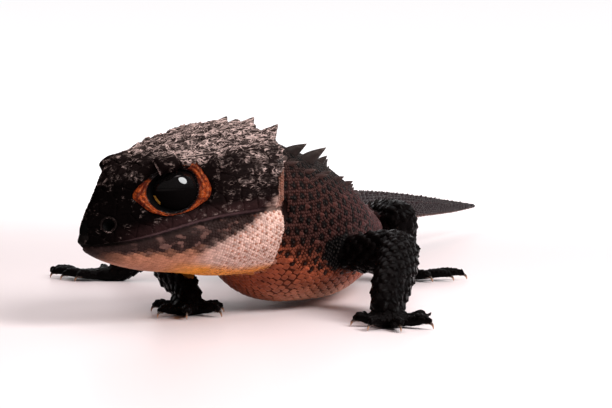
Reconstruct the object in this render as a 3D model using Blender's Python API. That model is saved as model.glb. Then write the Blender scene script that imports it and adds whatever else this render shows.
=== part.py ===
"""Red-eyed crocodile skink: a still, life-size model of an alert adult, standing with its head turned.

The animal faces -Y, its left side is +X and the floor is z = 0.
Every size is in millimetres; finished meshes are scaled to metres.
"""

import math

import bmesh
import bpy
import numpy as np
from mathutils import Matrix, Vector

MM = 0.001
GAP = 0.3  # clear space between two sub-parts

# Where the head is and how it is turned
SNOUT_AT = Vector((-22.7, -31.45, 11.5))
HEAD_TURN = math.radians(-39)
HEAD_PITCH = math.radians(5)
HEAD_LENGTH = 26.8
HEAD = (
    Matrix.Translation(SNOUT_AT)
    @ Matrix.Rotation(HEAD_TURN, 4, "Z")
    @ Matrix.Rotation(HEAD_PITCH, 4, "X")
)
MOUTH_RISE = 0.035  # how far the line of the mouth climbs for each mm back

# Eyes, in the head's own frame: +X out, +Y back, +Z up
EYE_AT = Vector((4.4, 12.4, 5.85))
EYE_HALF = Vector((3.3, 3.9, 3.35))
EYE_TOE_IN = math.radians(16)
LID_HALF_LENGTH = 4.9
LID_HALF_HEIGHT = 3.1
LID_THICKNESS = 0.62
LID_OUT = 2.35
ORBIT_DEPTH = 1.3  # how far the face falls in round the eye
ORBIT_REACH = 7.2

NOSTRIL_AT = Vector((2.25, 2.9, 2.4))
NOSTRIL_RADIUS = 0.7
EAR_AT = Vector((9.2, 28.6, 0.6))
EAR_HALF = Vector((0.8, 0.9, 1.9))

# Cut planes along the body, as lengths behind the head joint
NECK_LENGTH = 9.0
TRUNK_LENGTH = 54.5
TAIL_LENGTHS = (26.0, 28.0)


class Route:
    """A smooth run through stations. A row holds x, y, z and then the sizes there."""

    def __init__(self, rows):
        self.rows = np.array(rows, float)
        steps = np.linalg.norm(np.diff(self.rows[:, :3], axis=0), axis=1)
        self.marks = np.concatenate([[0.0], np.cumsum(steps)])
        self.slopes = np.gradient(self.rows, self.marks, axis=0)
        self.length = self.marks[-1]

    def at(self, s):
        """Place and sizes at length s, on a cubic between the two nearest stations."""
        i = int(np.clip(np.searchsorted(self.marks, s) - 1, 0, len(self.marks) - 2))
        span = self.marks[i + 1] - self.marks[i]
        t = (s - self.marks[i]) / span
        return (
            (2 * t**3 - 3 * t**2 + 1) * self.rows[i]
            + (t**3 - 2 * t**2 + t) * span * self.slopes[i]
            + (3 * t**2 - 2 * t**3) * self.rows[i + 1]
            + (t**3 - t**2) * span * self.slopes[i + 1]
        )

    def heading(self, s):
        step = 0.05
        return Vector(self.at(s + step)[:3] - self.at(s - step)[:3]).normalized()


def head_station(back, up, *sizes):
    """A body station given in the head's own frame."""
    return (*(HEAD @ Vector((0, back, up))), *sizes)


# Body: half width, height above and depth below the middle, then how square the back and the belly are.
# An ellipse is 2; the back is nearer a roof, and the belly is flatter.
BODY = Route(
    (
        head_station(20.0, 1.8, 8.4, 8.6, 7.8, 2.0, 2.2),
        head_station(26.0, 1.7, 8.8, 9.8, 9.2, 2.0, 2.2),
        (-1.9, -4.6, 13.6, 9.2, 9.6, 12.2, 1.9, 2.4),
        (1.3, 2.8, 11.9, 9.6, 9.4, 11.3, 1.6, 2.5),
        (1.4, 11.0, 10.7, 10.3, 8.9, 10.0, 1.35, 2.5),
        (1.0, 20.0, 9.8, 10.5, 8.3, 8.9, 1.3, 2.4),
        (0.6, 29.0, 9.2, 9.2, 7.2, 8.0, 1.4, 2.3),
        (0.3, 37.0, 8.9, 7.3, 5.9, 6.3, 1.5, 2.2),
        (0.2, 43.5, 8.9, 6.1, 4.7, 4.8, 1.7, 2.1),
        (1.0, 50.0, 9.1, 4.5, 4.0, 4.0, 1.8, 2.0),
        (3.0, 60.0, 9.3, 3.5, 3.3, 3.2, 1.9, 2.0),
        (6.2, 74.0, 9.0, 2.65, 2.6, 2.5, 2.0, 2.0),
        (10.6, 92.0, 8.0, 1.95, 1.9, 1.8, 2.0, 2.0),
        (15.4, 112.0, 6.6, 1.2, 1.2, 1.1, 2.0, 2.0),
        (19.6, 130.0, 5.6, 0.4, 0.4, 0.4, 2.0, 2.0),
    )
)
HEAD_JOINT = float(BODY.marks[1])

# Head: half widths at lip, temple and brow ridge, then the heights of ridge and crown
HEAD_LINES = Route(
    (
        (0, -0.5, 0, 0.4, 0.3, 0.2, 1.8, 2.2),
        (0, 0.9, 0, 1.6, 1.1, 0.7, 3.2, 3.6),
        (0, 3.4, 0, 3.5, 2.6, 1.4, 6.0, 6.6),
        (0, 6.0, 0, 4.9, 3.9, 3.3, 8.1, 9.0),
        (0, 9.0, 0, 6.1, 5.4, 6.0, 9.6, 10.7),
        (0, 13.0, 0, 7.4, 7.0, 7.0, 10.5, 11.4),
        (0, 18.0, 0, 9.0, 9.1, 7.9, 10.8, 12.0),
        (0, 23.0, 0, 9.9, 10.6, 9.2, 10.9, 12.4),
        (0, HEAD_LENGTH, 0, 10.0, 10.9, 9.9, 10.7, 12.5),
    )
)

# Brow ledge: side, back, up and its thickness, in the head's own frame
BROW_LINE = (
    (3.9, 7.2, 8.6, 0.4),
    (5.2, 9.0, 9.4, 0.7),
    (6.2, 12.0, 10.0, 0.9),
    (7.0, 16.0, 10.4, 0.9),
    (8.2, 20.0, 10.5, 0.7),
    (9.0, 24.0, 10.4, 0.4),
)

# Lower jaw: half width and depth below the line of the mouth
JAW_LINES = Route(
    (
        (0, 0.5, 0, 0.4, 1.0),
        (0, 1.8, 0, 1.8, 1.8),
        (0, 4.0, 0, 3.3, 3.0),
        (0, 9.0, 0, 5.7, 5.0),
        (0, 15.0, 0, 8.0, 6.5),
        (0, 21.0, 0, 9.6, 8.0),
        (0, HEAD_LENGTH, 0, 9.8, 8.6),
    )
)

# Limb stations: place, then half width in the limb's plane and across it
LEGS = {
    "front_left": {
        "kind": "front",
        "names": ("upper_arm_left", "forearm_left", "hand_left"),
        "route": (
            (4.0, 3.0, 8.0, 2.4, 2.5),
            (9.0, -2.6, 7.9, 2.4, 2.5),
            (16.9, -9.0, 8.9, 2.5, 2.6),
            (16.9, -15.0, 6.2, 2.5, 3.0),
            (16.5, -20.2, 3.2, 2.0, 2.7),
            (16.6, -22.0, 1.5, 1.8, 2.4),
        ),
        "sole": (17.0, -22.6),
        "toe_turns": (-80, -22, 18, 66, 116),
    },
    "front_right": {
        "kind": "front",
        "names": ("upper_arm_right", "forearm_right", "hand_right"),
        "route": (
            (-2.0, 5.0, 8.0, 2.4, 2.5),
            (-8.5, 2.0, 7.9, 2.4, 2.5),
            (-17.3, -1.8, 8.8, 2.4, 2.4),
            (-16.2, -6.8, 5.8, 2.2, 2.4),
            (-12.9, -11.6, 3.0, 1.8, 2.2),
            (-12.3, -13.0, 1.5, 1.8, 2.2),
        ),
        "sole": (-12.3, -13.4),
        "toe_turns": (116, 60, 10, -28, -106),
    },
    "hind_left": {
        "kind": "hind",
        "names": ("thigh_left", "shin_left", "foot_left"),
        "route": (
            (2.5, 43.5, 8.2, 3.1, 3.0),
            (6.0, 39.5, 8.8, 3.1, 3.1),
            (13.4, 28.0, 10.6, 2.6, 2.6),
            (13.2, 31.4, 6.8, 2.4, 2.4),
            (11.8, 33.8, 3.2, 1.9, 2.0),
            (11.4, 34.8, 1.6, 1.7, 2.0),
        ),
        "sole": (11.2, 35.4),
        "toe_turns": (42, 66, 84, 98, 150),
    },
    "hind_right": {
        "kind": "hind",
        "names": ("thigh_right", "shin_right", "foot_right"),
        "route": (
            (-1.5, 43.5, 8.0, 3.1, 3.0),
            (-5.2, 40.2, 8.6, 3.1, 3.1),
            (-18.4, 32.4, 9.2, 2.6, 2.6),
            (-24.6, 30.0, 6.0, 2.4, 2.4),
            (-30.0, 28.4, 3.0, 1.9, 2.0),
            (-32.2, 28.4, 1.6, 1.7, 2.0),
        ),
        "sole": (-33.6, 28.6),
        "toe_turns": (-56, -80, -100, -116, -158),
    },
}
KNEE = 2  # the stations of the elbow or knee, and of the wrist or ankle
WRIST = 4
LIMB_THORN_TURNS = (0.5, 0.35, 0.65)

# Feet: toe lengths from the middle of the sole, thumb side first
FEET = {
    "front": {"toes": (4.8, 5.8, 6.4, 6.2, 5.4), "sole_half": (2.5, 2.5, 1.2), "toe_radius": 0.8},
    "hind": {"toes": (5.6, 7.6, 10.2, 12.2, 8.0), "sole_half": (2.5, 2.9, 1.2), "toe_radius": 0.8},
}
CLAW_LENGTH = 2.0
CLAW_RADIUS = 0.42

# Colours of the sub-parts
COLOURS = {
    "casque": (0.045, 0.034, 0.030),
    "jaw": (0.42, 0.25, 0.19),
    "eye": (0.004, 0.004, 0.005),
    "back": (0.060, 0.038, 0.032),
    "limb": (0.014, 0.010, 0.010),
}


def clear_scene():
    for obj in list(bpy.data.objects):
        bpy.data.objects.remove(obj)


def rolled_tube(place, around, along):
    """A flat grid is rolled into a closed tube. place(turn, share) gives the point at a share of each way."""
    bm = bmesh.new()
    bmesh.ops.create_grid(bm, x_segments=around, y_segments=along, size=0.5)
    for vert in bm.verts:
        vert.co = place((vert.co.x + 0.5) % 1.0, vert.co.y + 0.5)
    bmesh.ops.remove_doubles(bm, verts=bm.verts, dist=1e-4)
    rims = [edge for edge in bm.edges if edge.is_boundary]
    caps = bmesh.ops.holes_fill(bm, edges=rims, sides=0)["faces"]
    bmesh.ops.poke(bm, faces=caps)
    return bm


def face_out(bm):
    """Turns every face of a closed mesh outwards."""
    bmesh.ops.recalc_face_normals(bm, faces=bm.faces)
    if bm.calc_volume(signed=True) < 0:
        bmesh.ops.reverse_faces(bm, faces=bm.faces)


def new_object(bm, name, collection):
    """Stores a closed bmesh as an object of that collection."""
    face_out(bm)
    bmesh.ops.triangulate(bm, faces=bm.faces)
    mesh = bpy.data.meshes.new(name)
    bm.to_mesh(mesh)
    bm.free()
    obj = bpy.data.objects.new(name, mesh)
    collection.objects.link(obj)
    return obj


def superellipse(turn, half, top, bottom, roof, belly):
    """Side and height of a section's rim; turn 0 is the back and 0.25 the left side."""
    angle = 2 * math.pi * turn
    across, up = math.sin(angle), math.cos(angle)
    power = 2 / (roof if up > 0 else belly)
    reach = top if up > 0 else bottom
    return (
        half * math.copysign(abs(across) ** power, across),
        reach * math.copysign(abs(up) ** power, up),
    )


def body_point(turn, s, grow=0.0):
    """A point of the trunk's and tail's surface, s behind the first station."""
    x, y, z, half, top, bottom, roof, belly = BODY.at(s)
    back = BODY.heading(s)
    side = back.cross(Vector((0, 0, 1))).normalized()
    up = side.cross(back)
    across, high = superellipse(turn, half + grow, top + grow, bottom + grow, roof, belly)
    return Vector((x, y, z)) + side * across + up * high


def surface_frame(point_at, turn, s):
    """Place, backward direction and outward normal of a surface given as point_at(turn, s)."""
    here = point_at(turn, s)
    back = (point_at(turn, s + 0.1) - point_at(turn, s - 0.1)).normalized()
    round_it = point_at(turn + 0.005, s) - point_at(turn - 0.005, s)
    out = round_it.cross(back).normalized()
    middle = (point_at(turn, s) + point_at(turn + 0.5, s)) / 2
    if out.dot(here - middle) < 0:
        out.negate()
    return here, back, out


def thorn(frame, length, width, height, lean, collection):
    """A keeled scale: a four-sided pyramid sunk in the skin, whose tip leans back over its rear."""
    here, back, out = frame
    side = back.cross(out)
    sunk = 0.45 * height + 0.25
    bm = bmesh.new()
    bmesh.ops.create_cone(bm, cap_ends=True, segments=4, radius1=1, radius2=0, depth=1)
    for vert in bm.verts:
        tip = vert.co.z > 0
        along = lean * length if tip else vert.co.y * length / 2
        high = height if tip else -sunk
        vert.co = here + side * (vert.co.x * width / 2) + back * along + out * high
    return new_object(bm, "thorn", collection)


def boolean(obj, operation, collection):
    """Joins the closed meshes of a collection to obj, or cuts them from it, and applies that."""
    modifier = obj.modifiers.new(operation.lower(), "BOOLEAN")
    modifier.operation = operation
    modifier.operand_type = "COLLECTION"
    modifier.collection = collection
    modifier.solver = "MANIFOLD"
    graph = bpy.context.evaluated_depsgraph_get()
    mesh = bpy.data.meshes.new_from_object(obj.evaluated_get(graph))
    obj.modifiers.remove(modifier)
    obj.data = mesh
    for piece in list(collection.objects):
        bpy.data.objects.remove(piece)
    bpy.data.collections.remove(collection)


def temporary_collection():
    made = bpy.data.collections.new("pieces")
    bpy.context.scene.collection.children.link(made)
    return made


def keep_largest(bm):
    """Leaves only the largest closed surface."""
    left, islands = set(bm.faces), []
    while left:
        island, edge_of_island = set(), {left.pop()}
        while edge_of_island:
            island |= edge_of_island
            edges = {e for f in edge_of_island for e in f.edges if e.is_manifold}
            edge_of_island = {face for e in edges for face in e.link_faces} - island
        left -= island
        islands.append(island)
    islands.sort(key=lambda faces: sum(face.calc_area() for face in faces))
    scraps = [face for island in islands[:-1] for face in island]
    bmesh.ops.delete(bm, geom=scraps, context="FACES")


def block_cutter(placing, collection):
    """A large block below the z = 0 plane of the given frame."""
    bm = bmesh.new()
    bmesh.ops.create_cube(bm, size=60)
    bmesh.ops.translate(bm, vec=(0, 0, -30), verts=bm.verts)
    bmesh.ops.transform(bm, matrix=placing, verts=bm.verts)
    new_object(bm, "block", collection)


def trim(obj, at, keep):
    """Cuts a node on the plane through a point, and keeps the side that the direction points to."""
    cutter = temporary_collection()
    turned = keep.to_track_quat("Z", "Y").to_matrix().to_4x4()
    block_cutter(Matrix.Translation(at) @ turned, cutter)
    boolean(obj, "DIFFERENCE", cutter)


def finish_node(obj, name, colour):
    """Cleans the mesh, scales it to metres and names, colours and shades the node."""
    bm = bmesh.new()
    bm.from_mesh(obj.data)
    keep_largest(bm)
    bmesh.ops.scale(bm, vec=(MM, MM, MM), verts=bm.verts)
    bm.to_mesh(obj.data)
    bm.free()
    obj.name = name
    obj.data.name = name
    obj.data.materials.clear()
    obj.data.materials.append(material(colour))
    obj.data.shade_smooth()
    obj.data.set_sharp_from_angle(angle=math.radians(40))


def material(name):
    found = bpy.data.materials.get(name)
    if found:
        return found
    made = bpy.data.materials.new(name)
    made.use_nodes = True
    shader = made.node_tree.nodes["Principled BSDF"]
    shader.inputs["Base Color"].default_value = (*COLOURS[name], 1)
    shader.inputs["Roughness"].default_value = 0.08 if name == "eye" else 0.6
    shader.inputs["Metallic"].default_value = 0.0
    return made


def through(points, share):
    """A point on a closed smooth curve through the given points."""
    count = len(points)
    place = share * count
    i = int(place) % count
    t = place - int(place)
    a, b, c, d = (points[(i + k) % count] for k in (-1, 0, 1, 2))
    return 0.5 * (2 * b + (c - a) * t + (2 * a - 5 * b + 4 * c - d) * t**2 + (3 * b - 3 * c + d - a) * t**3)


def mirrored_ring(half_points):
    """A section's rim from its right half, which starts and ends on the middle plane."""
    inner = half_points[1:-1]
    left = [Vector((-p.x, p.y, p.z)) for p in reversed(inner)]
    return [*half_points, *left]


def mouth_height(back):
    return MOUTH_RISE * back


def head_point(turn, back):
    """A point of the upper head, in the head's own frame. turn 0 is the palate and 0.5 the crown."""
    lip, temple, ridge, ridge_up, crown_up = HEAD_LINES.at(back + 0.5)[3:]
    low = mouth_height(back)
    high = ridge_up - low
    rim = [
        Vector((0, back, low)),
        Vector((0.75 * lip, back, low)),
        Vector((lip, back, low + 0.05 * high + 0.1)),
        Vector((lip + 0.15 + 0.02 * back, back, low + 0.3 * high)),
        Vector((temple, back, low + 0.66 * high)),
        Vector((ridge, back, ridge_up)),
        Vector((0.5 * ridge, back, 0.35 * ridge_up + 0.65 * crown_up + 0.1)),
        Vector((0, back, crown_up)),
    ]
    here = through(mirrored_ring(rim), turn)
    apart = Vector((here.y - EYE_AT.y, 1.25 * (here.z - EYE_AT.z))).length / ORBIT_REACH
    if apart < 1 and abs(here.x) > 3:
        here.x -= math.copysign(ORBIT_DEPTH * (1 - apart**2) ** 2, here.x)
    return here


def jaw_point(turn, back):
    """A point of the lower jaw, in the head's own frame. turn 0 is its upper face."""
    half, depth = JAW_LINES.at(back - 0.2)[3:]
    lip = HEAD_LINES.at(back + 0.5)[3]
    low = mouth_height(back) - GAP
    edge = min(lip - 0.1, half)
    rim = [
        Vector((0, back, low)),
        Vector((0.7 * edge, back, low)),
        Vector((edge, back, low - 0.25)),
        Vector((half, back, low - 0.42 * depth)),
        Vector((0.66 * half, back, low - 0.86 * depth)),
        Vector((0, back, low - depth)),
    ]
    return through(mirrored_ring(rim), turn)


def eye_frame(sign):
    """The eye's own frame: +X looks out of the head."""
    return (
        HEAD
        @ Matrix.Translation(Vector((sign * EYE_AT.x, EYE_AT.y, EYE_AT.z)))
        @ Matrix.Rotation(-sign * EYE_TOE_IN, 4, "Z")
        @ Matrix.Scale(sign, 4, Vector((1, 0, 0)))
    )


def eyeball(sign, grow, collection):
    bm = bmesh.new()
    bmesh.ops.create_uvsphere(bm, u_segments=18, v_segments=10, radius=1)
    size = EYE_HALF + Vector((grow, grow, grow))
    bmesh.ops.transform(bm, matrix=Matrix.Diagonal((*size, 1)), verts=bm.verts)
    bmesh.ops.transform(bm, matrix=eye_frame(sign), verts=bm.verts)
    return new_object(bm, "eyeball", collection)


def lid_ring(sign, collection):
    """The scaly rim of the eye: a tube bent round the eyeball, pointed at both corners."""

    def place(turn, share):
        angle = 2 * math.pi * share
        corner = abs(math.cos(angle)) ** 3
        along = LID_HALF_LENGTH * math.cos(angle)
        high = LID_HALF_HEIGHT * math.sin(angle)
        middle = Vector((LID_OUT - 0.9 * corner, along, high))
        outward = Vector((0, math.cos(angle), math.sin(angle)))
        tube = 2 * math.pi * turn
        thick = LID_THICKNESS * (1 + 0.6 * corner)
        offset = outward * math.cos(tube) + Vector((1, 0, 0)) * math.sin(tube)
        return eye_frame(sign) @ (middle + offset * thick)

    return new_object(rolled_tube(place, 6, 20), "lid", collection)


def brow(sign, collection):
    """The scaly ledge over the eye, which runs back into the casque's edge."""
    rows = [(sign * side, back, up, thick) for side, back, up, thick in BROW_LINE]
    ledge = Route(rows)

    def place(turn, share):
        x, y, z, thick = ledge.at(share * ledge.length)
        angle = 2 * math.pi * turn
        return HEAD @ Vector((x + thick * math.cos(angle), y, z + 0.8 * thick * math.sin(angle)))

    new_object(rolled_tube(place, 6, 12), "brow", collection)


def build_head(nodes):
    def place(turn, share):
        return HEAD @ head_point(turn, -0.5 + share * (HEAD_LENGTH + 0.5))

    head = new_object(rolled_tube(place, 24, 18), "head", nodes)
    pieces = temporary_collection()
    for sign in (-1, 1):
        lid_ring(sign, pieces)
        brow(sign, pieces)
        casque_spikes(sign, pieces)
    boolean(head, "UNION", pieces)
    hollows = temporary_collection()
    for sign in (-1, 1):
        eyeball(sign, GAP, hollows)
        nostril(sign, hollows)
    boolean(head, "DIFFERENCE", hollows)
    finish_node(head, "head", "casque")


def head_frame(side, back, out=None):
    """Place, backward direction and normal on the crown, found from the head's own section."""
    turn = min(
        (abs(head_point(t / 200, back).x - side), t / 200)
        for t in range(60, 141)
        if head_point(t / 200, back).z > 6
    )[1]
    here = head_point(turn, back)
    along = (head_point(turn, back + 0.3) - head_point(turn, back - 0.3)).normalized()
    across = head_point(turn + 0.01, back) - head_point(turn - 0.01, back)
    normal = across.cross(along).normalized()
    if normal.z < 0:
        normal.negate()
    turned = HEAD.to_3x3()
    return HEAD @ here, turned @ along, turned @ (out or normal)


def casque_spikes(sign, collection):
    """The horns of the casque's rear edge, and the low keels that run forward from them."""
    thorn(head_frame(sign * 2.75, 25.3), 6.4, 3.4, 1.35, 0.56, collection)
    thorn(head_frame(sign * 7.9, 25.1), 6.0, 3.4, 1.35, 0.56, collection)
    for back in (11.5, 15.5, 19.5):
        thorn(head_frame(sign * 2.5, back), 4.6, 2.2, 0.45, 0.4, collection)
    for side, back in ((4.6, 17.5), (5.6, 21.5)):
        thorn(head_frame(sign * side, back), 4.6, 2.2, 0.5, 0.4, collection)
    corner = HEAD @ Vector((sign * 9.9, 24.8, 7.4))
    out = (HEAD.to_3x3() @ Vector((sign, 0.15, 0.25))).normalized()
    back = (HEAD.to_3x3() @ Vector((sign * 0.05, 1, 0.1))).normalized()
    thorn((corner, back, out), 4.4, 3.8, 0.8, 0.58, collection)


def nostril(sign, collection):
    bm = bmesh.new()
    bmesh.ops.create_uvsphere(bm, u_segments=8, v_segments=6, radius=NOSTRIL_RADIUS)
    at = Vector((sign * (NOSTRIL_AT.x + 0.75), NOSTRIL_AT.y, NOSTRIL_AT.z))
    bmesh.ops.transform(bm, matrix=HEAD @ Matrix.Translation(at), verts=bm.verts)
    return new_object(bm, "nostril", collection)


def build_jaw(nodes):
    def place(turn, share):
        return HEAD @ jaw_point(turn, 0.2 + share * (HEAD_LENGTH - 0.2))

    jaw = new_object(rolled_tube(place, 20, 14), "lower_jaw", nodes)
    finish_node(jaw, "lower_jaw", "jaw")


def build_eyes(nodes):
    for sign, name in ((1, "eye_left"), (-1, "eye_right")):
        finish_node(eyeball(sign, 0.0, nodes), name, "eye")


def body_length(name, start, end, around, rings, colour, nodes, rows, front_cut=False):
    """One length of neck, trunk or tail, with its rows of thorns fused in."""

    spare_end = 0.8 if end < BODY.length else 0.0

    def place(turn, share):
        return body_point(turn, start - 0.8 + share * (end + spare_end - start + 0.8))

    obj = new_object(rolled_tube(place, around, rings), name, nodes)
    pieces = temporary_collection()
    for turn, first, last, step, size in rows:
        count = max(1, round((last - first) / step))
        for k in range(count):
            s = first + (k + 0.5) * (last - first) / count
            swell = size(s)
            for sign in (-1, 1):
                frame = surface_frame(body_point, sign * turn, s)
                thorn(frame, 1.25 * step * min(1.0, swell / 1.2 + 0.35), 1.5 * swell, swell, 0.6, pieces)
    boolean(obj, "UNION", pieces)
    if front_cut:
        face_the_head(obj)
    else:
        trim(obj, Vector(BODY.at(start)[:3]), BODY.heading(start))
    if spare_end:
        trim(obj, Vector(BODY.at(end)[:3]), -BODY.heading(end))
    finish_node(obj, name, colour)


def face_the_head(obj):
    """Cuts the neck's front on the plane of the head's rear face, a gap behind it, and opens the ears."""
    trim(obj, HEAD @ Vector((0, HEAD_LENGTH + GAP, 0)), HEAD.to_3x3() @ Vector((0, 1, 0)))
    cutters = temporary_collection()
    for sign in (-1, 1):
        bm = bmesh.new()
        bmesh.ops.create_uvsphere(bm, u_segments=10, v_segments=6, radius=1)
        placing = HEAD @ Matrix.Translation(Vector((sign * EAR_AT.x, EAR_AT.y, EAR_AT.z)))
        bmesh.ops.transform(bm, matrix=placing @ Matrix.Diagonal((*EAR_HALF, 1)), verts=bm.verts)
        new_object(bm, "ear", cutters)
    boolean(obj, "DIFFERENCE", cutters)


def build_body(nodes):
    """Neck, torso and three lengths of tail, parted by gaps across the body."""
    neck_end = HEAD_JOINT + NECK_LENGTH
    trunk_end = HEAD_JOINT + NECK_LENGTH + TRUNK_LENGTH
    tail_ends = [trunk_end + sum(TAIL_LENGTHS[: k + 1]) for k in range(len(TAIL_LENGTHS))]

    def nape_size(s):
        return 2.1

    def back_size(s):
        return 1.5 - 0.008 * (s - neck_end)

    def flank_size(s):
        return 1.1

    def tail_size(s):
        return 1.05 - 0.75 * (s - trunk_end) / (BODY.length - trunk_end)

    half_gap = GAP / 2
    body_length(
        "neck", HEAD_JOINT - 3, neck_end - half_gap, 20, 8, "back", nodes,
        ((0.062, HEAD_JOINT + 3.6, neck_end - 0.6, 4.4, nape_size),
         (0.15, HEAD_JOINT + 3.6, neck_end - 0.6, 4.4, flank_size)),
        front_cut=True,
    )
    body_length(
        "torso", neck_end + half_gap, trunk_end - half_gap, 18, 15, "back", nodes,
        ((0.055, neck_end + 1.2, trunk_end - 1.2, 3.9, back_size),
         (0.135, neck_end + 1.2, trunk_end - 1.2, 3.9, flank_size)),
    )
    starts = [trunk_end, *tail_ends]
    ends = [*tail_ends, BODY.length]
    shapes = (("tail_base", 16, 9), ("tail_middle", 12, 9), ("tail_tip", 8, 10))
    for (name, around, rings), start, end in zip(shapes, starts, ends):
        first = start + half_gap
        last = end - (half_gap if end < BODY.length else 0.2)
        thorns_end = last - (1.3 if end < BODY.length else 5.0)
        step = 3.6 if name == "tail_base" else 3.2
        body_length(
            name, first, last, around, rings, "back", nodes,
            ((0.07, first + 1.3, thorns_end, step, tail_size),
             (0.19, first + 1.3, thorns_end, step, tail_size)),
        )


def rounded_rows(rows, at_end):
    """Continues a limb's stations past its last or first one into a round end."""
    rows = [list(row) for row in rows]
    last, before = (rows[-1], rows[-2]) if at_end else (rows[0], rows[1])
    onward = (Vector(last[:3]) - Vector(before[:3])).normalized()
    radius = (last[3] + last[4]) / 2
    caps = []
    for degrees in (30, 58, 84):
        angle = math.radians(degrees)
        at = Vector(last[:3]) + onward * radius * math.sin(angle)
        caps.append([*at, last[3] * math.cos(angle), last[4] * math.cos(angle)])
    return rows + caps if at_end else caps[::-1] + rows


class Limb:
    """A leg's upper and lower half. Its bend lies in one plane, so its frame never twists."""

    def __init__(self, rows):
        points = [Vector(row[:3]) for row in rows]
        self.knee = points[KNEE]
        self.wrist = points[WRIST]
        up = (points[KNEE - 1] - self.knee).normalized()
        down = (self.wrist - self.knee).normalized()
        self.normal = down.cross(up).normalized()
        self.toward_root = (up - down).normalized()
        self.toward_foot = (points[WRIST + 1] - points[WRIST - 1]).normalized()
        self.upper = Route(rounded_rows(rows[: KNEE + 1], True))
        self.lower = Route(rounded_rows(rows[KNEE : WRIST + 2], False))

    def point(self, route, turn, s):
        x, y, z, in_plane, across = route.at(s)
        heading = route.heading(s)
        bend = self.normal.cross(heading).normalized()
        side = heading.cross(bend)
        angle = 2 * math.pi * turn
        return Vector((x, y, z)) + bend * (in_plane * math.cos(angle)) + side * (across * math.sin(angle))


def limb_half(limb, route, name, rings, nodes, thorn_rows):
    """Upper or lower half of a leg, with rows of keeled scales."""

    def place(turn, share):
        return limb.point(route, turn, share * route.length)

    def skin(turn, s):
        return limb.point(route, turn, s)

    obj = new_object(rolled_tube(place, 10, rings), name, nodes)
    pieces = temporary_collection()
    for turn, first, last, count in thorn_rows:
        for k in range(count):
            s = first + (k + 0.5) * (last - first) / count
            thorn(surface_frame(skin, turn, s), 1.3 * (last - first) / count, 1.7, 0.6, 0.55, pieces)
    boolean(obj, "UNION", pieces)
    return obj


def grown_trunk(collection):
    """The trunk's own form, a gap larger, which cuts a leg's root to the trunk's surface."""

    def place(turn, share):
        return body_point(turn, HEAD_JOINT + share * 82, GAP)

    return new_object(rolled_tube(place, 40, 44), "grown_trunk", collection)


def build_legs(nodes):
    for leg in LEGS.values():
        limb = Limb(leg["route"])
        upper_name, lower_name, foot_name = leg["names"]
        joint = limb.toward_root * GAP / 2
        knee_s = float(limb.upper.marks[KNEE])
        upper = limb_half(
            limb, limb.upper, upper_name, 7, nodes,
            [(turn, knee_s - 6.0, knee_s + 0.6, 2) for turn in LIMB_THORN_TURNS],
        )
        trim(upper, limb.knee + joint, limb.toward_root)
        hollows = temporary_collection()
        grown_trunk(hollows)
        boolean(upper, "DIFFERENCE", hollows)
        finish_node(upper, upper_name, "limb")
        first, last = (float(limb.lower.marks[k]) for k in (3, -2))
        lower = limb_half(
            limb, limb.lower, lower_name, 8, nodes,
            [(turn, first, last - 0.6, 4) for turn in LIMB_THORN_TURNS],
        )
        trim(lower, limb.knee - joint, -limb.toward_root)
        trim(lower, limb.wrist - limb.toward_foot * GAP / 2, -limb.toward_foot)
        finish_node(lower, lower_name, "limb")
        build_foot(limb, leg, foot_name, nodes)


def arch_tube(path, radii, around, along, collection):
    """A toe or claw: a tube along a plane arch, given as (distance, height) pairs from the sole."""

    def make(at, direction):
        side = direction.cross(Vector((0, 0, 1)))
        rows = [(*(at + direction * far + Vector((0, 0, high))), radius)
                for (far, high), radius in zip(path, radii)]
        route = Route(rows)

        def place(turn, share):
            s = share * route.length
            x, y, z, radius = route.at(s)
            heading = route.heading(s)
            up = side.cross(heading)
            angle = 2 * math.pi * turn
            offset = up * math.cos(angle) + side * math.sin(angle)
            return Vector((x, y, z)) + offset * radius

        return new_object(rolled_tube(place, around, along), "arch", collection)

    return make


def build_foot(limb, leg, name, nodes):
    """Ankle, sole, five arched toes and their claws, flat where they stand on the floor."""
    sizes = FEET[leg["kind"]]
    sole = Vector((*leg["sole"], 0))
    wide, long, high = sizes["sole_half"]

    ankle = limb.lower.marks[-2] - 1.0

    def ankle_place(turn, share):
        return limb.point(limb.lower, turn, ankle + share * (limb.lower.length - ankle))

    obj = new_object(rolled_tube(ankle_place, 12, 3), name, nodes)
    pieces = temporary_collection()
    pad = bmesh.new()
    bmesh.ops.create_uvsphere(pad, u_segments=10, v_segments=6, radius=1)
    middle = math.radians(leg["toe_turns"][2])
    shape = (
        Matrix.Translation(sole + Vector((0, 0, 1.1)))
        @ Matrix.Rotation(middle, 4, "Z")
        @ Matrix.Diagonal((wide, long, high, 1))
    )
    bmesh.ops.transform(pad, matrix=shape, verts=pad.verts)
    new_object(pad, "sole", pieces)
    for turn, length in zip(leg["toe_turns"], sizes["toes"]):
        angle = math.radians(turn)
        direction = Vector((math.sin(angle), -math.cos(angle), 0))
        thick = sizes["toe_radius"]
        toe = ((0.6, 1.0), (0.45 * length, 0.75), (0.78 * length, 1.35), (length, 1.05))
        arch_tube(toe, (1.25 * thick, 1.1 * thick, thick, 0.62 * thick), 6, 4, pieces)(sole, direction)
        claw = (
            (length - 0.8, 1.3),
            (length + 0.35 * CLAW_LENGTH, 1.15),
            (length + 0.62 * CLAW_LENGTH, 0.02),
        )
        arch_tube(claw, (CLAW_RADIUS, 0.8 * CLAW_RADIUS, 0.12), 4, 3, pieces)(sole, direction)
    boolean(obj, "UNION", pieces)
    trim(obj, limb.wrist + limb.toward_foot * GAP / 2, limb.toward_foot)
    trim(obj, sole, Vector((0, 0, 1)))
    finish_node(obj, name, "limb")


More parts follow.
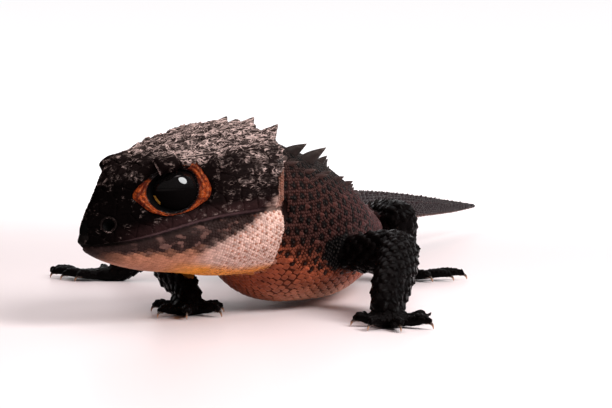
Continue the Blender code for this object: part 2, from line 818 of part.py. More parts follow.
def centre_on_origin(nodes):
    """Parents every node to one empty, which puts the middle of the whole box over the origin."""
    bpy.context.view_layer.update()
    corners = [v.co for obj in nodes.objects for v in obj.data.vertices]
    low = [min(c[i] for c in corners) for i in (0, 1)]
    high = [max(c[i] for c in corners) for i in (0, 1)]
    holder = bpy.data.objects.new("skink_origin", None)
    bpy.context.scene.collection.objects.link(holder)
    for obj in nodes.objects:
        obj.parent = holder
    holder.location = (-(low[0] + high[0]) / 2, -(low[1] + high[1]) / 2, 0)


def main():
    clear_scene()
    nodes = bpy.data.collections.new("crocodile_skink")
    bpy.context.scene.collection.children.link(nodes)
    build_head(nodes)
    build_jaw(nodes)
    build_eyes(nodes)
    build_body(nodes)
    build_legs(nodes)
    centre_on_origin(nodes)


main()
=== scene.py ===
import math
import random

import bmesh
import bpy
import numpy as np
from mathutils import Matrix, Vector, noise
from mathutils.bvhtree import BVHTree
from mathutils.kdtree import KDTree


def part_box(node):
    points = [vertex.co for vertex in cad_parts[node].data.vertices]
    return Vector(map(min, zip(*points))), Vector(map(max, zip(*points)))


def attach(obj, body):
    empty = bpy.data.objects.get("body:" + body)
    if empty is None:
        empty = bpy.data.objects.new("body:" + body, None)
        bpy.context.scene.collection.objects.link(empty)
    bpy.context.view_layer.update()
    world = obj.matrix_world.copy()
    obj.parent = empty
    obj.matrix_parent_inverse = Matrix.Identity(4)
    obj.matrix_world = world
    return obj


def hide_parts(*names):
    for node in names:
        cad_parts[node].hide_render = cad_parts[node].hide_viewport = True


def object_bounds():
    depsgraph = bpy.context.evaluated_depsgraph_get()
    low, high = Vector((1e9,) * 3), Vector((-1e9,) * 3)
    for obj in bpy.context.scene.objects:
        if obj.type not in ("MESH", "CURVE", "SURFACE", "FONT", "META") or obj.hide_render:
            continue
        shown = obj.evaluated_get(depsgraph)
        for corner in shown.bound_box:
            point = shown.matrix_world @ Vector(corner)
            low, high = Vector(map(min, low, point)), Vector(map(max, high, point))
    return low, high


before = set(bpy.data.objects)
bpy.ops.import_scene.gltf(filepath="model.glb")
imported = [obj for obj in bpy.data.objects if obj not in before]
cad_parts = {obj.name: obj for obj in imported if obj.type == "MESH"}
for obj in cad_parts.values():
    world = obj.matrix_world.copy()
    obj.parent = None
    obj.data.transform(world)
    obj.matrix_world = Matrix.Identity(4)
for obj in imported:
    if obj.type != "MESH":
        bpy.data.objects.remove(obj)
cad_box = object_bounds()


# Where the animal stands, and the camera
# The skink is drawn in millimetres, facing -Y with its left side at +X, and the frame's left eye gives
# its place. The camera looks from just above the head's height, with a long lens.
MM = 0.001
HEAD_LENGTH = 26.8
EYE_AT = Vector((4.4, 12.4, 5.85))  # in the head's own frame: +X out, +Y back, +Z up
HEAD = (
    Matrix.Translation((-22.7, -31.45, 11.5))
    @ Matrix.Rotation(math.radians(-39), 4, "Z")
    @ Matrix.Rotation(math.radians(5), 4, "X")
)
eye_low, eye_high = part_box("eye_left")
PLACED = Matrix.Translation((eye_low + eye_high) / 2 - (HEAD @ EYE_AT) * MM) @ Matrix.Scale(MM, 4)

CAMERA_AT = Vector((42.84, -286.84, 34.7))
CAMERA_TURN = math.radians(8)
PICTURE_WIDE, LENS_LONG, HORIZON_UP = 612, 2000, 138  # in the photograph's pixels
SENSOR = 36
camera_data = bpy.data.cameras.new("camera")
camera_data.sensor_width = SENSOR
camera_data.lens = SENSOR * LENS_LONG / PICTURE_WIDE
camera_data.clip_start = 0.001
camera = bpy.data.objects.new("camera", camera_data)
camera.location = PLACED @ CAMERA_AT
camera.rotation_euler = (math.radians(90) - math.atan(HORIZON_UP / LENS_LONG), 0, CAMERA_TURN)
bpy.context.scene.collection.objects.link(camera)
bpy.context.scene.camera = camera


# Flesh and skin
# One skin covers head, jaw, neck, trunk, tail, legs and feet. Each is laid out as a tube through
# stations, the tubes are fused by a voxel remesh and smoothed, and the head is refined and pressed
# into lips, eye sockets, nostrils and ears.
SKIN_VOXEL = 0.46
SKIN_ROUNDS, JOINT_ROUNDS, HEAD_ROUNDS = 3, 10, 2  # passes of smoothing


class Route:
    """A smooth run through stations. A row holds x, y, z and then the sizes there."""

    def __init__(self, rows):
        self.rows = np.array(rows, float)
        steps = np.linalg.norm(np.diff(self.rows[:, :3], axis=0), axis=1)
        self.marks = np.concatenate([[0.0], np.cumsum(steps)])
        self.slopes = np.gradient(self.rows, self.marks, axis=0)
        self.length = float(self.marks[-1])

    def at(self, s):
        i = int(np.clip(np.searchsorted(self.marks, s) - 1, 0, len(self.marks) - 2))
        span = self.marks[i + 1] - self.marks[i]
        t = (s - self.marks[i]) / span
        return (
            (2 * t**3 - 3 * t**2 + 1) * self.rows[i]
            + (t**3 - 2 * t**2 + t) * span * self.slopes[i]
            + (3 * t**2 - 2 * t**3) * self.rows[i + 1]
            + (t**3 - t**2) * span * self.slopes[i + 1]
        )

    def heading(self, s):
        return Vector(self.at(s + 0.05)[:3] - self.at(s - 0.05)[:3]).normalized()


def head_station(back, up, *sizes):
    """A body station given in the head's own frame."""
    return (*(HEAD @ Vector((0, back, up))), *sizes)


# Place, half width, height above and depth below the middle, and how square the back and belly are
BODY = Route(
    (
        head_station(20.0, 1.8, 8.4, 8.6, 7.8, 2.0, 2.2),
        head_station(26.0, 1.7, 8.8, 9.8, 9.2, 2.0, 2.2),
        (-1.9, -4.6, 13.6, 9.2, 9.6, 12.2, 1.9, 2.4),
        (1.3, 2.8, 11.9, 9.6, 9.4, 11.3, 1.6, 2.5),
        (1.4, 11.0, 10.7, 10.3, 8.9, 10.0, 1.35, 2.5),
        (1.0, 20.0, 9.8, 10.5, 8.3, 8.9, 1.3, 2.4),
        (0.6, 29.0, 9.2, 9.2, 7.2, 8.0, 1.4, 2.3),
        (0.3, 37.0, 8.9, 7.3, 5.9, 6.3, 1.5, 2.2),
        (0.2, 43.5, 8.9, 6.1, 4.7, 4.8, 1.7, 2.1),
        (1.0, 50.0, 9.1, 4.5, 4.0, 4.0, 1.8, 2.0),
        (3.0, 60.0, 9.3, 3.5, 3.3, 3.2, 1.9, 2.0),
        (6.2, 74.0, 9.0, 2.65, 2.6, 2.5, 2.0, 2.0),
        (10.6, 92.0, 8.0, 1.95, 1.9, 1.8, 2.0, 2.0),
        (15.4, 112.0, 6.6, 1.2, 1.2, 1.1, 2.0, 2.0),
        (19.6, 130.0, 5.6, 0.4, 0.4, 0.4, 2.0, 2.0),
    )
)
NAPE = float(BODY.marks[1])  # lengths along the body at the casque, the shoulders and the vent
SHOULDER = NAPE + 9
VENT = SHOULDER + 54.5

# Half widths at lip, temple and brow ridge, then the heights of ridge and crown
HEAD_LINES = Route(
    (
        (0, -0.5, 0, 0.4, 0.3, 0.2, 1.8, 2.2),
        (0, 0.9, 0, 1.6, 1.1, 0.7, 3.2, 3.6),
        (0, 3.4, 0, 3.5, 2.6, 1.4, 6.0, 6.6),
        (0, 6.0, 0, 4.9, 3.9, 3.3, 7.7, 8.5),
        (0, 9.0, 0, 6.1, 5.4, 6.0, 8.9, 9.7),
        (0, 13.0, 0, 7.4, 7.0, 7.0, 9.7, 10.8),
        (0, 18.0, 0, 9.0, 9.1, 7.9, 10.6, 11.9),
        (0, 23.0, 0, 9.9, 10.6, 9.2, 10.9, 12.4),
        (0, HEAD_LENGTH, 0, 10.0, 10.9, 9.9, 10.7, 12.5),
    )
)
BROW_LINE = ((3.9, 7.6, 7.2, 0.4), (5.1, 9.6, 8.4, 0.7), (6.2, 12.0, 9.2, 0.9),
             (7.0, 16.0, 9.9, 0.9), (8.2, 20.0, 10.5, 0.7), (9.0, 24.0, 10.4, 0.4))
BOSS_AT = Vector((5.5, 10.6, 8.3))  # the round swelling at the front of each brow
BOSS_HALF = (1.9, 2.4, 1.6, 1)
JAW_LINES = Route(  # half width, and how far the chin lies below the rising line
    (
        (0, 0.5, 0, 0.4, 1.0),
        (0, 1.8, 0, 1.8, 1.8),
        (0, 4.0, 0, 3.3, 3.0),
        (0, 9.0, 0, 5.7, 5.0),
        (0, 15.0, 0, 8.0, 6.5),
        (0, 21.0, 0, 9.6, 8.0),
        (0, HEAD_LENGTH, 0, 9.8, 8.6),
    )
)
ORBIT_DEPTH, ORBIT_REACH = 1.3, 7.2  # how far the face falls in round the eye

# Legs: place, then half width in the limb's plane and across it, from root to ankle
LEGS = {
    "front_left": {
        "route": ((4.0, 3.0, 8.0, 2.4, 2.5), (9.0, -2.6, 7.9, 2.4, 2.5), (16.9, -9.0, 8.9, 2.5, 2.6),
                  (16.9, -15.0, 6.2, 2.5, 3.0), (16.5, -20.2, 3.2, 2.0, 2.7), (16.6, -22.0, 1.5, 1.8, 2.4)),
        "sole": (17.0, -22.6), "turns": (-80, -22, 18, 66, 116), "foot": "front",
    },
    "front_right": {
        "route": ((-2.0, 5.0, 8.0, 2.4, 2.5), (-8.5, 2.0, 7.9, 2.4, 2.5), (-17.3, -1.8, 8.8, 2.4, 2.4),
                  (-16.2, -6.8, 5.8, 2.2, 2.4), (-12.9, -11.6, 3.0, 1.8, 2.2), (-12.3, -13.0, 1.5, 1.8, 2.2)),
        "sole": (-12.3, -13.4), "turns": (116, 60, 10, -28, -106), "foot": "front",
    },
    "hind_left": {
        "route": ((2.5, 43.5, 8.2, 3.1, 3.0), (6.0, 39.5, 8.8, 3.1, 3.1), (13.4, 28.0, 10.6, 2.6, 2.6),
                  (13.2, 31.4, 6.8, 2.4, 2.4), (11.8, 33.8, 3.2, 1.9, 2.0), (11.4, 34.8, 1.6, 1.7, 2.0)),
        "sole": (11.2, 35.4), "turns": (42, 66, 84, 98, 150), "foot": "hind",
    },
    "hind_right": {
        "route": ((-1.5, 43.5, 8.0, 3.1, 3.0), (-5.2, 40.2, 8.6, 3.1, 3.1), (-18.4, 32.4, 9.2, 2.6, 2.6),
                  (-24.6, 30.0, 6.0, 2.4, 2.4), (-30.0, 28.4, 3.0, 1.9, 2.0), (-32.2, 28.4, 1.6, 1.7, 2.0)),
        "sole": (-33.6, 28.6), "turns": (-56, -80, -100, -116, -158), "foot": "hind",
    },
}
KNEE, WRIST = 2, 4
FEET = {  # toe lengths from the middle of the sole, thumb side first, and the sole's half sizes
    "front": ((4.8, 5.8, 6.4, 6.2, 5.4), (2.5, 2.5, 1.2)),
    "hind": ((5.6, 7.6, 10.2, 12.2, 8.0), (2.5, 2.9, 1.2)),
}
TOE_RADIUS = 0.84
SOLE_UP = 1.1


def smooth_step(low, high, value):
    """0 below low, 1 above high and a smooth rise between them; high may be the lower one."""
    t = np.clip((np.asarray(value, float) - low) / (high - low), 0, 1)
    return t * t * (3 - 2 * t)


def mouth_height(back):
    """The line of the mouth: down at the snout, and up to the corner below the temple."""
    return -0.5 + 1.93 * smooth_step(2, 19, back)


def chin_height(back, depth):
    return 0.035 * back - 0.3 - depth


def mirrored(at, sign):
    """A place given for the left side, on the side of this sign."""
    return Vector((sign * at[0], at[1], at[2]))


def folded(at):
    return mirrored(at, -1 if at.x < 0 else 1)


def superellipse(turn, half, top, bottom, roof, belly):
    """Side and height of a section's rim; turn 0 is the back and 0.25 the left side."""
    angle = 2 * math.pi * turn
    across, up = math.sin(angle), math.cos(angle)
    power = 2 / (roof if up > 0 else belly)
    reach = top if up > 0 else bottom
    return (
        half * math.copysign(abs(across) ** power, across),
        reach * math.copysign(abs(up) ** power, up),
    )


def body_frame(s):
    """Place, sizes and the side, back and up directions of the body at length s."""
    row = BODY.at(s)
    back = BODY.heading(s)
    side = back.cross(Vector((0, 0, 1))).normalized()
    return Vector(row[:3]), row[3:], side, back, side.cross(back)


def body_point(turn, s):
    at, sizes, side, _, up = body_frame(s)
    across, high = superellipse(turn, *sizes)
    return at + side * across + up * high


def through(points, share):
    """A point on a closed smooth curve through the given points."""
    place = share * len(points)
    i = math.floor(place)
    t = place - i
    a, b, c, d = (points[(i + k) % len(points)] for k in (-1, 0, 1, 2))
    return 0.5 * (2 * b + (c - a) * t + (2 * a - 5 * b + 4 * c - d) * t**2 + (3 * b - 3 * c + d - a) * t**3)


def mirrored_ring(half_points):
    """A section's rim from its half at +X, which starts and ends on the middle plane."""
    return [*half_points, *(mirrored(p, -1) for p in reversed(half_points[1:-1]))]


def head_point(turn, back):
    """A point of the upper head, in the head's own frame. turn 0 is the palate and 0.5 the crown."""
    lip, temple, ridge, ridge_up, crown_up = HEAD_LINES.at(back + 0.5)[3:]
    low = float(mouth_height(back))
    high = ridge_up - low
    rim = [
        Vector((0, back, low)),
        Vector((0.75 * lip, back, low)),
        Vector((lip, back, low + 0.05 * high + 0.1)),
        Vector((lip + 0.15 + 0.02 * back, back, low + 0.3 * high)),
        Vector((temple, back, low + 0.66 * high)),
        Vector((ridge, back, ridge_up)),
        Vector((0.5 * ridge, back, 0.35 * ridge_up + 0.65 * crown_up + 0.1)),
        Vector((0, back, crown_up)),
    ]
    here = through(mirrored_ring(rim), turn)
    apart = Vector((here.y - EYE_AT.y, 1.25 * (here.z - EYE_AT.z))).length / ORBIT_REACH
    if apart < 1 and abs(here.x) > 3:
        here.x -= math.copysign(ORBIT_DEPTH * (1 - apart**2) ** 2, here.x)
    return here


def jaw_point(turn, back):
    """A point of the lower jaw, in the head's own frame. turn 0 is its upper face."""
    half, depth = JAW_LINES.at(back - 0.2)[3:]
    chin = chin_height(back, depth)
    low = float(mouth_height(back))
    edge = min(HEAD_LINES.at(back + 0.5)[3] - 0.1, half)
    tall = low - chin
    rim = [
        Vector((0, back, low + 0.4)),
        Vector((0.6 * edge, back, low + 0.2)),
        Vector((edge - 0.1, back, low - 0.25)),
        Vector((half, back, low - 0.42 * tall)),
        Vector((0.66 * half, back, low - 0.86 * tall)),
        Vector((0, back, chin)),
    ]
    return through(mirrored_ring(rim), turn)


def face_out(bm):
    bmesh.ops.recalc_face_normals(bm, faces=bm.faces)
    if bm.calc_volume(signed=True) < 0:
        bmesh.ops.reverse_faces(bm, faces=bm.faces)


def smoothed(bm, verts, rounds):
    for _ in range(rounds):
        bmesh.ops.smooth_vert(bm, verts=verts, factor=0.5, use_axis_x=True, use_axis_y=True, use_axis_z=True)


def mesh_of(bm, name):
    """Stores a bmesh as a mesh, and frees it."""
    mesh = bpy.data.meshes.new(name)
    bm.to_mesh(mesh)
    bm.free()
    return mesh


def in_scene(name, data):
    """An object in the scene that holds a mesh or a light."""
    obj = bpy.data.objects.new(name, data)
    bpy.context.scene.collection.objects.link(obj)
    return obj


def evaluated(obj):
    """The mesh that an object's modifiers give. The object is removed."""
    made = bpy.data.meshes.new_from_object(obj.evaluated_get(bpy.context.evaluated_depsgraph_get()))
    bpy.data.objects.remove(obj)
    return made


def rolled_tube(place, around, along):
    """A flat grid is rolled into a closed tube. place(turn, share) gives the point at a share of each way."""
    bm = bmesh.new()
    bmesh.ops.create_grid(bm, x_segments=around, y_segments=along, size=0.5)
    for vert in bm.verts:
        vert.co = place((vert.co.x + 0.5) % 1.0, vert.co.y + 0.5)
    bmesh.ops.remove_doubles(bm, verts=bm.verts, dist=1e-4)
    rims = [edge for edge in bm.edges if edge.is_boundary]
    bmesh.ops.poke(bm, faces=bmesh.ops.holes_fill(bm, edges=rims, sides=0)["faces"])
    face_out(bm)
    return bm


def ball(placing):
    bm = bmesh.new()
    bmesh.ops.create_uvsphere(bm, u_segments=24, v_segments=12, radius=1)
    bmesh.ops.transform(bm, matrix=placing, verts=bm.verts)
    face_out(bm)
    return bm


def rounded_rows(rows, at_end):
    """Continues a limb's stations past its last or first one into a round end."""
    rows = [list(row) for row in rows]
    last, before = (rows[-1], rows[-2]) if at_end else (rows[0], rows[1])
    onward = (Vector(last[:3]) - Vector(before[:3])).normalized()
    caps = []
    for degrees in (30, 58, 84):
        angle = math.radians(degrees)
        at = Vector(last[:3]) + onward * (last[3] + last[4]) / 2 * math.sin(angle)
        caps.append([*at, last[3] * math.cos(angle), last[4] * math.cos(angle)])
    return rows + caps if at_end else caps[::-1] + rows


class Limb:
    """A leg's upper and lower half. Its bend lies in one plane, so its frame never twists."""

    def __init__(self, leg):
        rows = leg["route"]
        points = [Vector(row[:3]) for row in rows]
        up = (points[KNEE - 1] - points[KNEE]).normalized()
        down = (points[WRIST] - points[KNEE]).normalized()
        self.root, self.knee = points[0], points[KNEE]
        self.normal = down.cross(up).normalized()
        self.upper = Route(rounded_rows(rows[: KNEE + 1], True))
        self.lower = Route(rounded_rows(rows[KNEE:], False))
        self.sole = Vector((*leg["sole"], 0))
        self.turns = [math.radians(turn) for turn in leg["turns"]]
        self.toes, self.sole_half = FEET[leg["foot"]]

    def skin(self, route):
        """The surface of one half of the leg; turn 0 is the outside of its bend."""

        def point(turn, s):
            x, y, z, in_plane, across = route.at(s)
            heading = route.heading(s)
            bend = self.normal.cross(heading).normalized()
            side = heading.cross(bend)
            angle = 2 * math.pi * turn
            return Vector((x, y, z)) + bend * (in_plane * math.cos(angle)) + side * (across * math.sin(angle))

        return point

    def toe_route(self, k):
        """The bones of a toe: down from the sole, up over its knuckle and down to the claw."""
        length = self.toes[k]
        away = Vector((math.sin(self.turns[k]), -math.cos(self.turns[k]), 0))
        shape = ((0.5, 1.05, 1.2), (0.3 * length, 0.95, 1.02), (0.52 * length, 0.85, 0.92),
                 (0.76 * length, 1.3, 1.0), (0.92 * length, 1.2, 0.8), (length + 0.1, 1.0, 0.56))
        return self.standing(away, [(far, high, TOE_RADIUS * thick) for far, high, thick in shape]), away

    def standing(self, away, shape):
        """A route out from the sole, from how far, how high and how thick it is."""
        return Route([(*(self.sole + away * far + Vector((0, 0, high))), thick)
                      for far, high, thick in shape])

    def toe_skin(self, k):
        route, away = self.toe_route(k)
        return finger_skin(route, away), route


def finger_skin(route, away, flat=1.0):
    """The surface of a toe or claw that points away from the sole; turn 0 is its top."""
    side = away.cross(Vector((0, 0, 1)))

    def point(turn, s):
        x, y, z, radius = route.at(s)
        up = side.cross(route.heading(s))
        angle = 2 * math.pi * turn
        return Vector((x, y, z)) + (up * math.cos(angle) + side * flat * math.sin(angle)) * radius

    return point


limbs = {name: Limb(leg) for name, leg in LEGS.items()}


def join(pieces):
    """Puts bmeshes into one, and frees them."""
    whole = bmesh.new()
    for piece in pieces:
        mesh = mesh_of(piece, "piece")
        whole.from_mesh(mesh)
        bpy.data.meshes.remove(mesh)
    return whole


def tube_of(skin, length, around, along):
    return rolled_tube(lambda turn, share: skin(turn, share * length), around, along)


trunk_parts = [tube_of(body_point, BODY.length, 56, 150)]
head_parts = [
    rolled_tube(lambda turn, share: HEAD @ head_point(turn, -0.5 + share * (HEAD_LENGTH + 0.5)), 84, 70),
    rolled_tube(lambda turn, share: HEAD @ jaw_point(turn, 0.2 + share * (HEAD_LENGTH - 0.2)), 60, 60),
]
for sign in (-1, 1):
    ledge = Route([(*mirrored(row, sign), row[3]) for row in BROW_LINE])

    def ledge_skin(turn, s):
        x, y, z, thick = ledge.at(s)
        angle = 2 * math.pi * turn
        return HEAD @ Vector((x + thick * math.cos(angle), y, z + 0.8 * thick * math.sin(angle)))

    head_parts.append(tube_of(ledge_skin, ledge.length, 12, 40))
    head_parts.append(ball(HEAD @ Matrix.Translation(mirrored(BOSS_AT, sign)) @ Matrix.Diagonal(BOSS_HALF)))
limb_parts = []
for limb in limbs.values():
    limb_parts += [tube_of(limb.skin(half), half.length, 20, 30) for half in (limb.upper, limb.lower)]
    limb_parts.append(ball(
        Matrix.Translation(limb.sole + Vector((0, 0, SOLE_UP)))
        @ Matrix.Rotation(limb.turns[2], 4, "Z")
        @ Matrix.Diagonal((*limb.sole_half, 1))
    ))
    for k in range(5):
        toe_skin, route = limb.toe_skin(k)
        limb_parts.append(tube_of(toe_skin, route.length, 12, 24))
groups = {"trunk": join(trunk_parts), "head": join(head_parts), "limb": join(limb_parts)}
group_trees = {name: BVHTree.FromBMesh(bm) for name, bm in groups.items()}


overlapping = in_scene("fused", mesh_of(join(groups.values()), "fused"))
remesh = overlapping.modifiers.new("remesh", "REMESH")
remesh.mode = "VOXEL"
remesh.voxel_size = SKIN_VOXEL
skin = bmesh.new()
skin.from_mesh(evaluated(overlapping))
smoothed(skin, skin.verts, SKIN_ROUNDS)
# Where the legs join the trunk, and how far round that the flesh is blended
JOINTS = (((9.6, -3.0, 8.5), 4.6), ((-9.0, 2.4, 8.5), 4.6), ((8.2, 36.5, 9.0), 5.0), ((-8.0, 38.6, 8.8), 5.0))
for joint, reach in JOINTS:
    smoothed(skin, [v for v in skin.verts if (v.co - Vector(joint)).length < reach], JOINT_ROUNDS)
HEAD_INVERSE = HEAD.inverted()


def in_head(point):
    return HEAD_INVERSE @ point


finer = set()
for face in skin.faces:
    local = in_head(face.calc_center_median())
    if -2 < local.y < HEAD_LENGTH + 0.6 and -9 < local.z < 14 and abs(local.x) < 12:
        finer.update(face.edges)
bmesh.ops.subdivide_edges(skin, edges=list(finer), cuts=1, use_grid_fill=True)
smoothed(skin, [v for v in skin.verts if in_head(v.co).y < HEAD_LENGTH + 0.5], HEAD_ROUNDS)
skin.normal_update()
EYE_TOE_IN = math.radians(16)


def eye_frame(sign):
    """The eye's own frame: +X looks out of the head and a little forward."""
    return (
        HEAD
        @ Matrix.Translation(mirrored(EYE_AT, sign))
        @ Matrix.Rotation(-sign * EYE_TOE_IN, 4, "Z")
        @ Matrix.Scale(sign, 4, Vector((1, 0, 0)))
    )


EYE_HALF = Vector((3.3, 3.9, 3.35))
SOCKET_FRONT, SOCKET_REAR, SOCKET_HIGH = 5.6, 4.8, 3.4
NOSTRIL_AT, NOSTRIL_HALF, NOSTRIL_DEEP = Vector((2.85, 2.2, 2.3)), 0.62, 1.1
EAR_AT, EAR_HALF, EAR_DEEP = Vector((9.4, 28.7, 0.8)), (1.6, 0.85, 1.9), 1.0
# Grooves and rolls along the mouth: height above its line, how that climbs, half width, depth
LIP_FORMS = ((0, 0, 0.24, 0.42), (0.62, 0, 0.4, -0.16), (-0.62, 0, 0.4, -0.12), (1.75, 0.02, 0.22, 0.12))
eye_inverses = [eye_frame(sign).inverted() for sign in (-1, 1)]
for vert in skin.verts:
    local = in_head(vert.co)
    vert.co.z = max(vert.co.z, 0.0)
    if local.y > HEAD_LENGTH + 4:
        continue
    inward = 0.0
    if local.y < 24.5 and abs(local.x) > 0.3 + 0.2 * local.y:
        above = local.z - float(mouth_height(local.y))
        fade = float(smooth_step(24.5, 21.5, local.y))
        for high, climb, wide, deep in LIP_FORMS:
            inward += fade * deep * math.exp(-(((above - high - climb * local.y) / wide) ** 2))
        crease = above + 1.5 - 0.055 * local.y
        inward += 0.1 * fade * float(smooth_step(9, 14, local.y)) * math.exp(-((crease / 0.25) ** 2))
    apart = (folded(local) - NOSTRIL_AT).length / NOSTRIL_HALF
    if apart < 2.2:
        inward += NOSTRIL_DEEP * math.exp(-(apart**2))
    apart = Vector([off / half for off, half in zip(folded(local) - EAR_AT, EAR_HALF)]).length
    if apart < 2.0:
        inward += EAR_DEEP * math.exp(-(apart**3))
    if inward:
        vert.co -= vert.normal * inward
    for inverse in eye_inverses:
        eye = inverse @ vert.co
        apart = math.hypot(eye.y / (SOCKET_FRONT if eye.y < 0 else SOCKET_REAR), eye.z / SOCKET_HIGH)
        if apart < 1 and eye.x > 0:
            eye.x = min(eye.x, 0.3 + 1.9 * apart**2)
            vert.co = inverse.inverted() @ eye
skin_tree = BVHTree.FromBMesh(skin)


# Colours of the hide, worked out from where a point lies on the animal, for skin and scales alike
HIDE = {
    "casque": (0.0045, 0.0025, 0.0025),
    "snout": (0.0022, 0.0014, 0.0014),
    "lip": (0.022, 0.010, 0.010),
    # Painted highlight along the upper lip's edge
    "lip_highlight": (0.13, 0.075, 0.08),
    "jaw_strip": (0.020, 0.010, 0.009),
    "strip_fleck": (0.15, 0.075, 0.062),
    "jaw": (0.44, 0.19, 0.115),
    "jowl": (0.68, 0.44, 0.37),
    "throat": (0.80, 0.30, 0.045),
    "rear_edge": (0.17, 0.055, 0.03),
    "neck": (0.038, 0.0125, 0.010),
    "nape": (0.014, 0.009, 0.008),
    "flank": (0.053, 0.021, 0.021),
    "belly": (0.25, 0.055, 0.024),
    "cream": (0.74, 0.35, 0.22),
    "tail": (0.016, 0.009, 0.0105),
    "limb": (0.0024, 0.0016, 0.0016),
}
ARMPITS = ((8.2, -5.6, 8.2), (-8.4, -0.4, 8.2))  # where the black of the arms spreads onto the trunk
ARMPIT_REACH = (3.0, 4.2, 2.6)
BODY_STATIONS = np.linspace(0, BODY.length, 260)


def body_places(points):
    """For each point, its length along the body and its turn round it: 0 is the back and 0.5 the belly."""
    frames = zip(*(body_frame(s) for s in BODY_STATIONS))
    centres, sizes, sides, _, ups = (np.array(column) for column in frames)
    nearest = np.concatenate([
        ((part[:, None] - centres[None]) ** 2).sum(2).argmin(1)
        for part in np.array_split(points, 1 + len(points) // 4000)
    ])
    offset, sizes = points - centres[nearest], sizes[nearest]
    across = (offset * sides[nearest]).sum(1) / sizes[:, 0]
    high = (offset * ups[nearest]).sum(1)
    high = high / np.where(high > 0, sizes[:, 1], sizes[:, 2])
    return BODY_STATIONS[nearest], np.abs(np.arctan2(across, high)) / (2 * math.pi)


def jowl_height(back):
    """The line above which the lower jaw is dark, and below which it is pale."""
    return np.interp(back, (12, 14.5, 21.5, 25.2, 27), (-5, -2.8, -0.27, 2.6, 4.2))


def hide_colours(points, head_share, limb_share, armour=False):
    """The hide's colour at each point, given how far each belongs to the head and to a limb."""
    points = np.asarray(points, float)
    local = points @ np.array(HEAD_INVERSE.to_3x3()).T + np.array(HEAD_INVERSE.translation)
    back, up = local[:, 1], local[:, 2]
    above = up - mouth_height(back)
    chin = chin_height(back, np.interp(back, JAW_LINES.rows[:, 1], JAW_LINES.rows[:, 4]))
    length, turn = body_places(points)
    colour = np.tile(HIDE["flank"], (len(points), 1))

    def lay(name, share):
        colour[:] = colour + (np.array(HIDE[name]) - colour) * np.clip(share, 0, 1)[:, None]

    lay("neck", smooth_step(SHOULDER + 12, SHOULDER, length))
    lay("nape", smooth_step(0.20, 0.10, turn))
    lay("belly", smooth_step(0.29, 0.37, turn))
    lay("cream", smooth_step(0.36, 0.445, turn) * smooth_step(SHOULDER - 5, SHOULDER + 9, length))
    for armpit in ARMPITS:
        lay("limb", smooth_step(1.2, 0.8, np.linalg.norm((points - armpit) / np.array(ARMPIT_REACH), axis=1)))
    lay("tail", smooth_step(VENT - 6, VENT + 6, length) * (1 - 0.2 * smooth_step(0.36, 0.44, turn)))
    trunk = colour.copy()
    colour[:] = HIDE["casque"]
    lay("snout", smooth_step(15, 8, back) * smooth_step(9.5, 7.0, up))
    lay("lip", smooth_step(2.6, 1.0, above) * smooth_step(1.5, 9, back))
    # Painted highlight: a pale line along the upper lip's edge, just above the mouth
    lay("lip_highlight", 0.8 * smooth_step(0.6, 0.4, above) * smooth_step(3, 8, back) * smooth_step(26, 22, back))
    lay("jaw_strip", smooth_step(0.1, -0.1, above))
    fleck = np.array([noise.noise(p) for p in (local * (0.9, 0.75, 2.1)).tolist()])
    fleck = 0.8 * smooth_step(0.0, 0.42, fleck)
    lay("strip_fleck", fleck * smooth_step(-0.1, -0.4, above) * smooth_step(2, 7, back))
    wobble = np.sin(2.3 * back + 1.1) * np.sin(3.7 * up + 0.6 * back)
    share_down = -above / np.maximum(mouth_height(back) - chin, 0.5) + 0.08 * wobble
    lay("jaw", smooth_step(0.40, 0.66, share_down) * smooth_step(1, 6, back))
    lay("jowl", smooth_step(-1.3, 0.9, jowl_height(back) - up + 0.5 * wobble) * smooth_step(12, 17, back))
    lay("throat", smooth_step(2.0, 0.7, up - chin) * smooth_step(9, 16, back))
    if not armour:
        lay("rear_edge", smooth_step(25.0, 26.2, back) * smooth_step(1.0, 2.5, up) * smooth_step(8, 6, up))
    head_share = np.clip(head_share, 0, 1)[:, None]
    limb_share = np.clip(limb_share, 0, 1)[:, None]
    mixed = trunk * (1 - head_share) + colour * head_share
    return mixed * (1 - limb_share) + np.array(HIDE["limb"]) * limb_share


class Wire:
    """A shader value. Python's operators on it add the Math nodes."""

    def __init__(self, finish, socket):
        self.finish, self.socket = finish, socket

    def maths(self, operation, *others):
        return self.finish.node("Math", {"operation": operation}, self, *others)

    def __add__(self, other):
        return self.maths("ADD", other)

    def __sub__(self, other):
        return self.maths("SUBTRACT", other)

    def __rsub__(self, other):
        return self.finish.node("Math", {"operation": "SUBTRACT"}, other, self)

    def __mul__(self, other):
        return self.maths("MULTIPLY", other)

    __radd__, __rmul__ = __add__, __mul__


